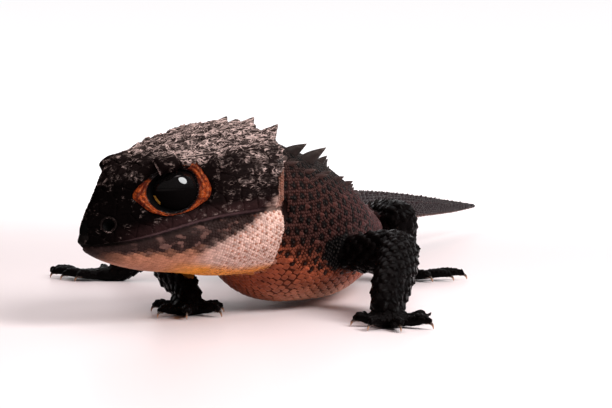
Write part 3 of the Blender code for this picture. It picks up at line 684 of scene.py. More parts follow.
class Finish:
    """A material on the Principled shader, built up node by node."""

    def __init__(self, name, **settings):
        self.material = bpy.data.materials.new(name)
        self.material.use_nodes = True
        self.tree = self.material.node_tree
        self.shader = self.tree.nodes["Principled BSDF"]
        self.feed(self.shader, settings)

    def feed(self, node, values):
        """Links or sets a node's sockets, each given by its place or its name."""
        for key, value in values.items():
            socket = node.inputs[key.replace("_", " ") if isinstance(key, str) else key]
            if isinstance(value, Wire):
                self.tree.links.new(value.socket, socket)
            elif value is not None:
                socket.default_value = value

    def node(self, kind, settings=None, *values, output=0, **named):
        """Adds a node: its settings, then the values or links of its sockets by place or by name."""
        made = self.tree.nodes.new("ShaderNode" + kind)
        for key, value in (settings or {}).items():
            setattr(made, key, value)
        self.feed(made, {**dict(enumerate(values)), **named})
        return Wire(self, made.outputs[output])

    def mix(self, share, first, second):
        """Mixes two colours, given as wires or as three numbers."""
        made = self.node("Mix", {"data_type": "RGBA", "clamp_factor": True}, share, output=2)
        first, second = ((*c, 1) if isinstance(c, tuple) else c for c in (first, second))
        self.feed(made.socket.node, {6: first, 7: second})
        return made

    def attribute(self, name, output):
        return self.node("Attribute", {"attribute_name": name}, output=output)

    def place(self):
        return self.node("TexCoord", output=3)

    def grain(self, scale, detail=3.0):
        """Noise in the object's own coordinates, in waves for each metre."""
        return self.node("TexNoise", None, self.place(), Scale=scale, Detail=detail, Roughness=0.6)

    def between(self, value, low, high):
        """0 where a value is below low and 1 above high."""
        return self.node("MapRange", {"interpolation_type": "SMOOTHSTEP"}, value, low, high, 0.0, 1.0)

    def wear(self, bump=None, strength=0.0, depth=0.0, **varying):
        """Links what varies over the surface to the shader."""
        if bump is not None:
            varying["Normal"] = self.node("Bump", None, Strength=strength, Distance=depth, Height=bump)
        self.feed(self.shader, varying)
        return self.material


# Dry fibres on the casque: waves for each metre, how they twist and how wide they are
FIBRES = ((640, 1.7, 0.034), (1250, 1.3, 0.045))


def hide_finish(name, dry=0.35, pale=(0.40, 0.32, 0.28), fibres=0.0, **settings):
    """Hide: its own colour from the mesh, mottled, and worn pale where the crest attribute is high."""
    finish = Finish(name, **settings)
    hide = finish.attribute("hide", 0)
    crest = finish.attribute("crest", 2)
    mottle = finish.between(finish.grain(900, 4), 0.35, 0.68)
    fine = finish.grain(5200, 3)
    bumps = fine + mottle * 0.5
    darker = finish.mix(mottle * 0.5, hide, finish.mix(0.6, hide, (0.0, 0.0, 0.0)))
    worn = finish.between(crest, 0.22, 0.85) * (finish.between(fine, 0.3, 0.62) * 0.55 + 0.45)
    if fibres:
        dryness = finish.attribute("dry", 2)
        turned = (0.0, 0.0, math.radians(-39))
        stretched = (1.0, 4.0, 1.0)
        along = finish.node("Mapping", {"vector_type": "TEXTURE"}, finish.place(), None, turned, stretched)
        waves = [finish.node("TexNoise", None, along, Scale=scale, Detail=2.0, Distortion=twist)
                 for scale, twist, _ in FIBRES]
        coarse, thin = (1 - finish.between((wave - 0.5).maths("ABSOLUTE"), 0.008, wide)
                        for wave, (_, _, wide) in zip(waves, FIBRES))
        patch = finish.grain(760, 3)
        strand = coarse.maths("MAXIMUM", thin) * (finish.between(patch, 0.32, 0.6) * 0.6 + 0.4)
        shown = finish.between(patch + dryness * 0.5, 0.54, 0.92)
        worn = (worn * (strand * 0.7 + 0.1) + strand * fibres) * shown + dryness * 0.04
        bumps = bumps + strand * 1.2
    base = finish.mix(worn * dry, darker, finish.mix(0.35, pale, hide))
    rough = finish.shader.inputs["Roughness"].default_value + (mottle - 0.5) * 0.12
    return finish.wear(bumps, 0.35, 0.00012, Base_Color=base, Roughness=rough)


BOX = [np.array(corner) + inset for corner, inset in zip(cad_box, (2e-5, -2e-5))]  # no piece leaves it
BOX[0][2] = 0.0


def finished(made, name, material):
    """Stores a piece, a mesh or bmesh in millimetres, at its place and in metres."""
    if isinstance(made, bmesh.types.BMesh):
        face_out(made)
    mesh = made if isinstance(made, bpy.types.Mesh) else mesh_of(made, name)
    mesh.transform(PLACED)
    places = np.empty(len(mesh.vertices) * 3, np.float32)
    mesh.vertices.foreach_get("co", places)
    mesh.vertices.foreach_set("co", places.reshape(-1, 3).clip(*BOX).ravel())
    mesh.shade_smooth()
    mesh.materials.clear()
    mesh.materials.append(material)
    obj = in_scene(name, mesh)
    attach(obj, "root")
    return obj


def paint(mesh, name, values):
    """Stores an attribute, a number or a colour for each point."""
    if values.ndim == 2:
        layer = mesh.attributes.new(name, "FLOAT_COLOR", "POINT")
        layer.data.foreach_set("color", np.c_[values, np.ones(len(values))].astype(np.float32).ravel())
    else:
        layer = mesh.attributes.new(name, "FLOAT", "POINT")
        layer.data.foreach_set("value", values.astype(np.float32))


def points_of(mesh):
    return [vert.co.copy() for vert in mesh.vertices]


def shares(points):
    """How far each point belongs to the head and to a limb, from the nearest laid-out tube."""
    found = []
    for point in points:
        apart = {name: tree.find_nearest(point)[3] for name, tree in group_trees.items()}
        head = 0.5 + (apart["trunk"] - apart["head"]) / 0.6
        limb = 0.5 + (min(apart["trunk"], apart["head"]) - apart["limb"]) / 2.6
        found.append((head, limb))
    return np.array(found)


# The skin's colour holds painted shade: darker under the scales, in the mouth's groove and in the eye
# sockets, and unshaded where it lies bare along the lips
face_out(skin)
skin_mesh = mesh_of(skin, "skin")
skin_points = points_of(skin_mesh)
skin_shares = shares(skin_points)
of_head, of_limb = skin_shares.clip(0, 1).T
skin_local = np.array([in_head(p) for p in skin_points])
over_mouth = skin_local[:, 2] - mouth_height(skin_local[:, 1])
# Painted shade under the scales: darkest on the trunk, less on the legs and below the mouth
shade_under_scales = 0.25 + 0.5 * np.maximum(of_limb, of_head * smooth_step(0.0, -0.6, over_mouth))
bare = smooth_step(2.6, 2.0, np.abs(over_mouth) + 0.6) * of_head * smooth_step(24, 20, skin_local[:, 1])
painted_shade = shade_under_scales + (1 - shade_under_scales) * bare
# Painted shade: a dark line along the mouth's groove
painted_shade *= 1 - 0.8 * np.exp(-((over_mouth / 0.2) ** 2)) * (skin_local[:, 1] < 23.5) * of_head
# Painted shade: the skin inside each eye socket is darkened
for inverse in eye_inverses:
    seen = np.array([inverse @ p for p in skin_points])
    socket = smooth_step(0.75, 1.05, np.hypot(seen[:, 1] / 5.0, seen[:, 2] / 3.2))
    painted_shade *= np.where(seen[:, 0] > -1, 0.15 + 0.85 * socket, 1.0)
paint(skin_mesh, "hide", hide_colours(skin_points, *skin_shares.T) * painted_shade[:, None])
paint(skin_mesh, "crest", 0.3 * bare)
skin_piece = finished(skin_mesh, "skin", hide_finish("hide", Roughness=0.6, Specular_IOR_Level=0.03))
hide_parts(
    "head", "lower_jaw", "neck", "torso", "tail_base", "tail_middle", "tail_tip",
    *(f"{part}_{side}" for side in ("left", "right")
      for part in ("upper_arm", "forearm", "hand", "thigh", "shin", "foot")),
)


# Eyeballs
# Large, almost black and wet, with a very wide pupil and a thin golden edge of iris at the front.
# Each is a ball sunk in its socket, behind the lids.
CORNEA = 0.16  # how far the clear front bulges
LOOK = Vector((0.978, -0.106, 0.15)).normalized()  # where the middle of the pupil points
PUPIL, IRIS_BROWN, IRIS_GOLD = (0.0025, 0.002, 0.002), (0.20, 0.08, 0.012), (0.80, 0.46, 0.09)
eye_finish = Finish("eye", Roughness=0.4, Specular_IOR_Level=0.0, Coat_Roughness=0.03, Coat_IOR=1.5)
gaze = eye_finish.attribute("gaze", 2)
iris_ring = eye_finish.between(gaze, 1.02, 1.07) * (1 - eye_finish.between(gaze, 1.20, 1.26))
iris = eye_finish.mix(eye_finish.between(eye_finish.grain(2400, 3), 0.3, 0.7), IRIS_BROWN, IRIS_GOLD)
eye_material = eye_finish.wear(
    Base_Color=eye_finish.mix(iris_ring * 0.9, PUPIL, iris), Coat_Weight=eye_finish.attribute("wet", 2)
)
eye_trees = {}
for sign, side in ((1, "left"), (-1, "right")):
    eye = bmesh.new()
    bmesh.ops.create_uvsphere(eye, u_segments=64, v_segments=32, radius=1)
    bmesh.ops.rotate(eye, verts=eye.verts, matrix=Matrix.Rotation(math.radians(90), 3, "Y"))
    gazes = eye.verts.layers.float.new("gaze")
    wets = eye.verts.layers.float.new("wet")
    for vert in eye.verts:
        facing = vert.co.normalized().dot(LOOK)
        vert[gazes] = math.acos(max(-1.0, min(1.0, facing))) * float(
            smooth_step(0.0, -0.15, vert.co.z) * smooth_step(-0.62, -0.72, vert.co.y)
        )
        vert[wets] = float(smooth_step(0.0, 0.22, vert.co.z))
        bulge = 1 - CORNEA / EYE_HALF.x * (1 - float(smooth_step(0.75, 1.0, facing)))
        vert.co = vert.co * EYE_HALF * bulge
    bmesh.ops.transform(eye, matrix=eye_frame(sign), verts=eye.verts)
    eye_trees[sign] = BVHTree.FromBMesh(eye)
    eye_piece = finished(eye, f"eyeball_{side}", eye_material)
    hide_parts(f"eye_{side}")


# Orange eye rings
# The bare scaly skin round each eye, vivid orange-red: thin above and below, wide in both corners, in
# two or three soft rolls of tiny granules, with painted highlights on the rolls and painted shade between
# the granules. Its inner lip lies black against the ball, with painted glints, and painted black shadow
# lies on the ring where the brow overhangs its top front.
# Edges of the lids' opening and of the ring, drawn as they look along SIGHT: rearward and up from the eye
SIGHT = Vector((0.89, -0.454, 0))
OPENING = ((3.2, 0), (2.6, 2.0), (1.1, 2.65), (-0.4, 2.6), (-2.15, 2.0), (-3.2, 0.8),
           (-3.35, -0.3), (-2.8, -1.6), (-1.5, -2.6), (0.1, -2.9), (1.7, -2.5), (2.75, -1.6))
RING = ((5.1, -0.7), (4.9, 0.4), (3.95, 2.25), (3.4, 3.55), (1.6, 3.35), (-0.1, 3.2),
        (-2.0, 2.7), (-3.4, 1.6), (-5.5, -0.4), (-4.6, -1.1), (-3.8, -1.9), (-2.15, -2.85),
        (0, -3.25), (1.6, -3.1), (3.35, -2.4), (4.7, -1.6))
ORANGE, RUST = (0.36, 0.060, 0.010), (0.075, 0.008, 0.004)
# Painted highlight on the rolls' tops, and painted shade in the gaps between granules
ROLL_HIGHLIGHT, GAP_SHADE = (0.85, 0.34, 0.14), (0.05, 0.006, 0.003)
# The lid's black, which also paints the brow's shadow, and the lid's painted glints
LID_AND_SHADOW_BLACK, LID_GLINT = (0.003, 0.002, 0.002), (0.30, 0.27, 0.28)
ring_finish = Finish("orange_ring", Roughness=0.4, Specular_IOR_Level=0.06)
to_edge = ring_finish.node("TexVoronoi", {"feature": "DISTANCE_TO_EDGE"}, ring_finish.place(), Scale=3600)
granule = ring_finish.between(to_edge, 0.0, 0.16)
orange = ring_finish.mix(ring_finish.between(ring_finish.grain(1300, 4), 0.38, 0.6), ORANGE, RUST)
# Painted highlight: paler where the rolls rise highest
orange = ring_finish.mix(ring_finish.attribute("crest", 2) * 0.75, orange, ROLL_HIGHLIGHT)
# Painted shade in the gaps between the granules
orange = ring_finish.mix((1 - granule) * 0.7, orange, GAP_SHADE)
# Painted glints: pale specks on the black lid
painted_glints = ring_finish.between(ring_finish.grain(4600, 2), 0.60, 0.70)
lid_and_shadow_colour = ring_finish.mix(painted_glints * 0.5, LID_AND_SHADOW_BLACK, LID_GLINT)
# The ring takes the lid's black where the lid lies and where the brow's painted shadow falls
orange = ring_finish.mix(ring_finish.attribute("lip", 2), orange, lid_and_shadow_colour)
ring_material = ring_finish.wear(granule + ring_finish.grain(6000, 3) * 0.4, 0.5, 0.0001, Base_Color=orange)


def round_the_eye(points):
    """A smooth closed edge through points: its reach at every degree; 0 is the rear and 90 the top."""
    degrees = np.degrees([math.atan2(y, x) for x, y in points])
    reach = np.interp(np.arange(360), degrees, [math.hypot(x, y) for x, y in points], period=360)
    for _ in range(2):
        reach = sum(np.roll(reach, k) for k in range(-4, 5)) / 9
    return reach


opening_reach, ring_reach = round_the_eye(OPENING), round_the_eye(RING)


def rim_point(placing, tree, reach, degree):
    """Where the sight line through an edge's point at this degree meets a surface, in the eye's own frame."""
    sideways = Vector((-SIGHT.y, SIGHT.x, 0))
    angle = math.radians(degree)
    far = reach[degree % 360]
    start = sideways * (far * math.cos(angle)) + Vector((0, 0, far * math.sin(angle))) + SIGHT * 12
    hit = tree.ray_cast(placing @ start, -(placing.to_3x3() @ SIGHT))[0]
    return placing.inverted() @ hit


rim_reach = np.zeros(360)  # the ring's outer edge, seen along the eye's own axis
for sign, side in ((1, "left"), (-1, "right")):
    placing = eye_frame(sign)
    back_to_eye = placing.inverted()
    rims = [(rim_point(placing, eye_trees[sign], opening_reach, d) + Vector((0.02, 0, 0)),
             rim_point(placing, skin_tree, ring_reach, d) + Vector((0.04, 0, 0))) for d in range(360)]
    edge = sorted((math.degrees(math.atan2(at.z, at.y)) % 360, math.hypot(at.y, at.z)) for _, at in rims)
    rim_reach = np.interp(np.arange(360), *zip(*edge), period=360)

    def rim_at(share):
        place = share * 360
        first = int(place)
        return (rims[first % 360][k].lerp(rims[(first + 1) % 360][k], place - first) for k in (0, 1))

    ring = bmesh.new()
    bmesh.ops.create_grid(ring, x_segments=28, y_segments=180, size=0.5)
    lips = ring.verts.layers.float.new("lip")
    crests = ring.verts.layers.float.new("crest")
    for vert in ring.verts:
        turn, share = (vert.co.x + 0.5) % 1.0, (vert.co.y + 0.5) % 1.0
        inner, outer = rim_at(share)
        across = 2 * turn if turn < 0.5 else 2 - 2 * turn
        here = inner.lerp(outer, across)
        # Painted shadow: where the brow overhangs the top front, the ring is painted the lid's black
        brow_shadow = float(smooth_step(88, 96, 360 * share) * smooth_step(158, 146, 360 * share))
        lid = 0.10 + 0.4 * math.exp(-(((360 * share - 275) / 30) ** 2))
        vert[lips] = max(float(smooth_step(lid + 0.08, lid, across)), brow_shadow)
        if 0 < across < 1 and turn < 0.5:
            over = skin_tree.ray_cast(placing @ (here + SIGHT * 12), -(placing.to_3x3() @ SIGHT))[0]
            over = back_to_eye @ over if over else here
            if (over - here).dot(SIGHT) > 0:
                here = over
        if turn < 0.5:
            middle = math.sin(math.pi * across)
            rolls = math.cos(2 * math.pi * (2.6 * across + 0.3 * math.sin(14 * share)))
            cell = noise.voronoi((placing @ here) / 0.42)[0]
            pebble = min(1.0, (cell[1] - cell[0]) / 0.4)
            lift = 0.42 * middle**0.6
            lift += (0.13 * min(1.0, (outer - inner).length / 1.4) * rolls + 0.07 * pebble) * middle
            here = here + Vector((lift, 0, 0))
            # Where the roll rises highest, for the painted highlight
            vert[crests] = float(smooth_step(0.4, 0.75, lift)) * pebble
        else:
            here = here - Vector((0.5 * math.sin(math.pi * across) + 0.12, 0, 0))
        vert.co = placing @ here
    bmesh.ops.remove_doubles(ring, verts=ring.verts, dist=1e-4)
    finished(ring, f"orange_ring_{side}", ring_material)


# Casque plates
# The head's armour: bony plates in rows from snout to nape, each with a rough keel, wrinkles and a
# dry pale edge. A fine sheet is laid on the skin, and each plate is cut from it half way to its
# neighbours, raised and given its keel.
PLATE_GAP = 0.03
PLATE_DEPTH = 0.4
# Row: place round the head (7 is the crown's middle, 2 the lip), first and last plate, step, keel, wrinkle
PLATE_ROWS = (
    (7.0, 1.4, 25.4, 3.2, 0.12, 1.0),
    (6.42, 3.0, 25.2, 3.3, 0.45, 1.0),
    (5.9, 4.0, 25.2, 3.0, 0.40, 1.0),
    (5.38, 5.2, 25.2, 2.8, 0.36, 1.0),
    (4.9, 5.6, 25.2, 2.3, 0.32, 0.9),
    (4.42, 3.2, 25.3, 2.5, 0.24, 1.0),
    (3.9, 1.8, 25.3, 2.5, 0.20, 1.0),
    (3.4, 1.6, 25.2, 2.4, 0.14, 0.8),
    (2.95, 1.9, 25.0, 2.3, 0.08, 0.5),
    (2.42, 1.2, 23.0, 2.4, 0.02, 0.15),
)
SHEET_ACROSS, SHEET_ALONG = 230, 128
draw = random.Random(11)
sheet = bmesh.new()
sheet.loops.layers.uv.new("OFBake")
bmesh.ops.create_grid(sheet, x_segments=SHEET_ACROSS, y_segments=SHEET_ALONG, size=0.5, calc_uvs=True)
LOWEST_TURN = 2.12 / 14
for vert in sheet.verts:
    turn = LOWEST_TURN + (vert.co.x + 0.5) * (1 - 2 * LOWEST_TURN)
    back = -0.35 + (vert.co.y + 0.5) * (HEAD_LENGTH + 0.2)
    at = HEAD @ head_point(turn, back)
    inward = (HEAD @ Vector((0, back, 4)) - at).normalized()
    hit = skin_tree.ray_cast(at - inward * 4, inward)[0]
    vert.co = hit if hit and (hit - at).length < 3 else skin_tree.find_nearest(at)[0]


def eye_share(point):
    """How far a point is from the nearer eye: 1 on the outer edge of its ring."""
    best = 9.0
    for inverse in eye_inverses:
        eye = inverse @ point
        if eye.x > -1:
            degree = round(math.degrees(math.atan2(eye.z, eye.y))) % 360
            best = min(best, math.hypot(eye.y, eye.z) / rim_reach[degree])
    return best


smoothed(sheet, sheet.verts, 2)
bmesh.ops.delete(
    sheet,
    geom=[v for v in sheet.verts
          if eye_share(v.co) < 0.9
          or in_head(v.co).y > 25.4 + 1.6 * smooth_step(5.5, 8.0, in_head(v.co).z)
          or (folded(in_head(v.co)) - NOSTRIL_AT).length < 0.95],
    context="VERTS",
)
for vert in sheet.verts:
    share = eye_share(vert.co)
    if share < 1:
        for sign, inverse in zip((-1, 1), eye_inverses):
            eye = inverse @ vert.co
            if eye.x > -1:
                eye.y, eye.z = eye.y / share, eye.z / share
                vert.co = skin_tree.find_nearest(eye_frame(sign) @ eye)[0]
sheet.normal_update()
inside = HEAD @ Vector((0, 14, 3))
if sum(math.copysign(1, f.normal.dot(f.calc_center_median() - inside)) for f in sheet.faces) < 0:
    bmesh.ops.reverse_faces(sheet, faces=sheet.faces)
    sheet.normal_update()

SHEET_RISE = 0.45  # how much thicker the plates of the casque's rear are
BOSS_CLEAR = 2.8  # the smooth round plate on each boss keeps the others this far off
# Degree round the eye, rise, and how pale the border is
BROW_SCALES = (
    (28, 0.08, 0.0), (50, 0.14, 0.5), (72, 0.2, 0.8), (94, 0.24, 1.0), (117, 0.22, 1.0), (140, 0.12, 0.6),
)
centres = []  # place, keel, wrinkle, rise, border


def add_centre(at, *shape, clear=0.0):
    """Adds a plate's centre unless it lies in the eye's ring or too near one that is there."""
    if eye_share(at) > 1.06 and all((at - other[0]).length > clear for other in centres):
        centres.append((at, *shape))


bosses = [skin_tree.find_nearest(HEAD @ mirrored(BOSS_AT + Vector((0, 0, 1)), sign))[0] for sign in (1, -1)]
for sign, boss in zip((1, -1), bosses):
    add_centre(boss, 0.0, 0.1, 0.3, 0.9)
    for degree, rise, border in BROW_SCALES:
        angle, far = math.radians(degree), 0.75 + rim_reach[degree]
        at = eye_frame(sign) @ Vector((2.5, far * math.cos(angle), far * math.sin(angle)))
        add_centre(skin_tree.find_nearest(at)[0], 0.12, 0.5, rise, border, clear=1.5)
reserved = len(centres)
for index, first, last, step, keel, wrinkle in PLATE_ROWS:
    count = max(1, round((last - first) / step))
    for k in range(count + 1):
        back = first + (last - first) * k / count
        nudge_back, nudge_round = draw.uniform(-0.75, 0.75), draw.uniform(-0.17, 0.17)
        if k in (0, count):
            nudge_back = 0.0
        for sign in ((1,) if index == 7.0 else (1, -1)):
            turn = (7 + sign * (7 - index + (nudge_round if index != 7.0 else 0))) / 14
            at = skin_tree.find_nearest(HEAD @ head_point(turn, back + nudge_back))[0]
            clear_of_boss = min((at - boss).length for boss in bosses) > BOSS_CLEAR
            if clear_of_boss and all((at - other[0]).length > 1.7 for other in centres[:reserved]):
                rise = SHEET_RISE * float(smooth_step(8, 22, back) * smooth_step(4.9, 5.9, index))
                add_centre(at, keel * draw.uniform(0.8, 1.2), wrinkle, rise, 0.0)


def tree_of(places):
    """A tree that finds the nearest of these places."""
    tree = KDTree(len(places))
    for k, at in enumerate(places):
        tree.insert(at, k)
    tree.balance()
    return tree


def head_way(*direction):
    """A direction given in the head's own frame."""
    return (HEAD.to_3x3() @ Vector(direction)).normalized()


def square_to(out, way):
    """What is left of a direction when it may not lean towards another."""
    return (way - out * way.dot(out)).normalized()


def wrinkled(point, direction, stretch=3.8):
    """Rough bony wrinkles, drawn out along a direction: 0 in the grooves and 1 on the crests."""
    squeezed = point - direction * point.dot(direction) * (1 - 1 / stretch)
    rough = 0.0
    for scale, share in ((1.1, 0.36), (2.8, 0.36), (5.4, 0.28)):
        rough += share * (1 - 2.6 * abs(noise.noise(squeezed * scale + Vector((3.1, 1.7, 0.4)) * scale)))
    return max(0.0, rough)


centre_tree = tree_of([at for at, *_ in centres])
members = {k: set() for k in range(len(centres))}
for face in sheet.faces:
    close = centre_tree.find_n(face.calc_center_median(), 4)
    for _, k, apart in close:
        if apart < close[0][2] + 0.55:
            members[k].add(face.index)


def plate_of(k):
    """Cuts one plate from the sheet, raises it and gives it its keel, wrinkles and walls."""
    at, keel, wrinkle, rise, bordered = centres[k]
    plate = sheet.copy()
    plate.faces.ensure_lookup_table()
    bmesh.ops.delete(plate, geom=[f for f in plate.faces if f.index not in members[k]], context="FACES")
    planes = []
    for _, other, apart in centre_tree.find_range(at, 8.0):
        if other == k:
            continue
        toward = (centres[other][0] - at).normalized()
        edge = at + toward * (apart / 2 - PLATE_GAP / 2)
        planes.append((edge, toward))
        if apart < 6.5:
            bmesh.ops.bisect_plane(
                plate, geom=[*plate.verts, *plate.edges, *plate.faces], dist=1e-5,
                plane_co=edge, plane_no=toward, clear_outer=True,
            )
    if len(plate.faces) < 10:
        return plate
    bmesh.ops.triangulate(plate, faces=[f for f in plate.faces if len(f.verts) > 4])
    bmesh.ops.subdivide_edges(plate, edges=plate.edges, cuts=1, use_grid_fill=True)
    plate.normal_update()
    crests = plate.verts.layers.float.new("crest")
    edges = plate.verts.layers.float.new("edge")
    out = sum((v.normal for v in plate.verts), Vector()).normalized()
    swing = Matrix.Rotation(0.35 * math.sin(7.3 * k), 3, out)
    along = (swing @ square_to(out, head_way(0, 1, 0))).normalized()
    across = along.cross(out)
    reach_along = max(abs((v.co - at).dot(along)) for v in plate.verts)
    reach_across = max(abs((v.co - at).dot(across)) for v in plate.verts)
    normals = {v: v.normal.copy() for v in plate.verts}
    beside_eye = k >= reserved and eye_share(at) < 2.2
    for vert in plate.verts:
        offset = vert.co - at
        back = in_head(vert.co).y
        calm = 0.4 + 0.6 * float(smooth_step(3, 12, back))
        inside = min((edge - vert.co).dot(toward) for edge, toward in planes)
        a, b = offset.dot(along) / reach_along, offset.dot(across) / reach_across
        rim = 1 - math.exp(-((max(0.0, inside) / 0.13) ** 2))
        ridge = math.exp(-((b / 0.2) ** 2)) * (0.35 + 0.65 * float(smooth_step(-0.9, 0.75, a)))
        shoulder = max(0.0, 1 - abs(b)) * (0.4 + 0.6 * float(smooth_step(-1, 0.8, a)))
        rough = wrinkled(vert.co, along)
        form = 0.09 + 0.12 * shoulder + keel * ridge + 0.30 * wrinkle * (rough - 0.45)
        lift = float(smooth_step(-0.8, 1.2, back)) * (0.08 + rise + calm * rim * form)
        if beside_eye:
            lift *= 0.25 + 0.75 * float(smooth_step(1.0, 1.35, eye_share(vert.co)))
        patchy = float(smooth_step(0.1 - 0.5 * bordered, 0.4 - 0.5 * bordered, noise.noise(vert.co * 1.3)))
        border = math.exp(-((inside / 0.11) ** 2)) * patchy
        vert[crests] = min(1.0, 1.25 * wrinkle * rim * rough**1.4 * (0.6 + 0.8 * ridge) + border)
        vert[edges] = border * bordered
        vert.co = vert.co + normals[vert] * lift
    walls = bmesh.ops.extrude_edge_only(plate, edges=[e for e in plate.edges if e.is_boundary])["geom"]
    for vert in [g for g in walls if isinstance(g, bmesh.types.BMVert)]:
        vert.co = vert.co - out * PLATE_DEPTH
    underside = bmesh.ops.holes_fill(plate, edges=[e for e in plate.edges if e.is_boundary], sides=0)
    bmesh.ops.triangulate(plate, faces=underside["faces"])
    return plate


def dryness(points):
    """How dry and pale the casque is: most on its top and rear, least on the snout and below the eyes."""
    local = np.array([in_head(p) for p in points])
    back, up = local[:, 1], local[:, 2]
    ridge = np.interp(back, HEAD_LINES.rows[:, 1], HEAD_LINES.rows[:, 6])
    top = smooth_step(-1.4, 0.3, up - ridge)
    temple = 0.33 * smooth_step(16, 24, back) * smooth_step(3.5, 7.5, up)
    dry = 0.02 + 0.08 * smooth_step(9, 17, back) - 0.16 * smooth_step(14, 6, back) * smooth_step(8.5, 6.0, up)
    dry += top * (0.1 + 0.75 * smooth_step(8, 14, back)) + temple * (1 - top)
    for sign in (-1, 1):
        off_boss = (local - np.array(mirrored(BOSS_AT, sign))) / np.array(BOSS_HALF[:3])
        dry *= smooth_step(1.0, 1.7, np.linalg.norm(off_boss, axis=1))
    return np.clip(dry, -0.2, 1)


casque_material = hide_finish(
    "casque", dry=1.0, pale=(0.74, 0.54, 0.49), fibres=0.8, Roughness=0.6, Specular_IOR_Level=0.0
)


def armoured(made, name, dry=None, armour=True):
    """Finishes a piece of the casque. Plates are dry by where they lie and along their pale edges."""
    face_out(made)
    mesh = mesh_of(made, name)
    points = points_of(mesh)
    on_head = np.ones(len(points))
    if dry is None:
        edge = np.empty(len(points), np.float32)
        mesh.attributes["edge"].data.foreach_get("value", edge)
        dry = np.maximum(dryness(points), edge)
    paint(mesh, "dry", dry * on_head)
    paint(mesh, "hide", hide_colours(points, on_head, 0 * on_head, armour))
    finished(mesh, name, casque_material)


plates = [k for k in range(len(centres)) if len(members[k]) > 12]
for side, on_side in (("left", lambda x: x > 0), ("right", lambda x: x <= 0)):
    armoured(join(plate_of(k) for k in plates if on_side(in_head(centres[k][0]).x)), f"casque_plates_{side}")
sheet.free()


# Nostril rims
# A raised round scale rings each large nostril, with a dry pale upper edge.
NOSTRIL_RING, NOSTRIL_RIM = 0.86, 0.16
nostrils = []
for sign in (-1, 1):
    middle = HEAD @ mirrored(NOSTRIL_AT, sign)
    out = head_way(sign * 0.86, -0.42, 0.3)
    up = square_to(out, head_way(0, 0.1, 1))
    side = up.cross(out) * sign
    rim = bmesh.new()
    bmesh.ops.create_grid(rim, x_segments=12, y_segments=48, size=0.5)
    crests = rim.verts.layers.float.new("crest")
    for vert in rim.verts:
        turn, share = 2 * math.pi * (vert.co.x + 0.5), 2 * math.pi * (vert.co.y + 0.5)
        away = up * math.sin(share) + side * math.cos(share) * 1.12
        upper = float(smooth_step(0.3, 1.1, math.sin(share) + 0.6 * math.cos(share)))
        vert[crests] = 1.4 * upper * max(0.0, math.sin(turn))
        found = skin_tree.find_nearest(middle + away * NOSTRIL_RING)[0]
        raised = out * (NOSTRIL_RIM * 1.3 * math.sin(turn) + 0.1)
        vert.co = found + away.normalized() * NOSTRIL_RIM * math.cos(turn) + raised
    bmesh.ops.remove_doubles(rim, verts=rim.verts, dist=1e-4)
    nostrils.append(rim)
armoured(join(nostrils), "nostril_rims", dry=0.25)


# Casque spikes
# The casque ends in bony points: two on each side of the middle and one on each rear corner. Each
# rises gently from the plates in front, is wrinkled along its length and drops steeply behind.
SPIKE_LEAN = 0.56  # how far the tip lies behind the root, as a share of the spike's length
SPIKES = ((2.75, 25.3, 6.4, 3.2, 1.35), (7.9, 25.1, 6.0, 3.2, 1.35))  # side, back, length, width, height
CORNER_SPIKE = ((9.9, 25.2, 8.0), 4.4, 3.4, 0.6)  # place, length, width, height
SPIKE_STRETCH = 3.4  # how far its wrinkles are drawn out


def horn(at, back, out, length, width, height, around=36, rings=34, rough=0.3, lean=SPIKE_LEAN):
    """A wrinkled horn on an oval root, whose tip leans back over its rear."""
    side = back.cross(out)

    def place(turn, share):
        angle = 2 * math.pi * turn
        close = (1 - share) ** 0.9
        across = math.copysign(abs(math.sin(angle)) ** 1.5, math.sin(angle)) * 0.5 * width * close
        along = length * (0.5 * math.cos(angle) * close + lean * share)
        high = height * share**1.15 - 1.0 * (1 - share) ** 4
        here = at + back * along + side * across + out * high
        away = side * math.sin(angle) + out * 0.4
        return here + away * (rough * (wrinkled(here, back, SPIKE_STRETCH) - 0.5) * close**0.5)

    made = rolled_tube(place, around, rings)
    crests = made.verts.layers.float.new("crest")
    for vert in made.verts:
        high = (vert.co - at).dot(out) / height
        crest = float(smooth_step(0.0, 0.6, high)) * wrinkled(vert.co, back, SPIKE_STRETCH) ** 1.5
        vert[crests] = min(1.0, crest + 0.25 * high**3)
    return made


horns = []
for sign in (-1, 1):
    for across, back, length, width, height in SPIKES:
        at, normal, *_ = skin_tree.ray_cast(HEAD @ Vector((sign * across, back, 20)), head_way(0, 0, -1))
        rear = head_way(0, 1, 0.03)
        horns.append(horn(at, rear, square_to(rear, normal), length, width, height))
    place, *sizes = CORNER_SPIKE
    out, rear = head_way(sign, 0.15, 0.25), head_way(sign * 0.05, 1, 0.1)
    horns.append(horn(HEAD @ mirrored(place, sign), rear, out, *sizes))
armoured(join(horns), "casque_spikes", dry=0.8, armour=False)


# Granules of neck and flanks
# Fine bead-like scales in close rows, dark red brown, with regular pits where a bead is missing, each
# holding a flat near-black bead as painted shadow and ringed by beads painted darker as shade, and here
# and there a larger keeled one with a pale tip. They stand on the skin, each on its own root.
BEAD_STEP = 0.44


def dome(sides=8):
    """A low bead, open below. It is one across, and stands on its middle."""
    bm = bmesh.new()
    bmesh.ops.create_cone(bm, cap_ends=True, segments=sides, radius1=0.54, radius2=0.36, depth=0.5)
    bmesh.ops.delete(bm, geom=[f for f in bm.faces if f.normal.z < -0.5], context="FACES_ONLY")
    crests = bm.verts.layers.float.new("crest")
    poked = bmesh.ops.poke(bm, faces=[f for f in bm.faces if f.normal.z > 0.9])["verts"]
    for vert in poked:
        vert.co.z += 0.12
        vert[crests] = 0.8
    return bm


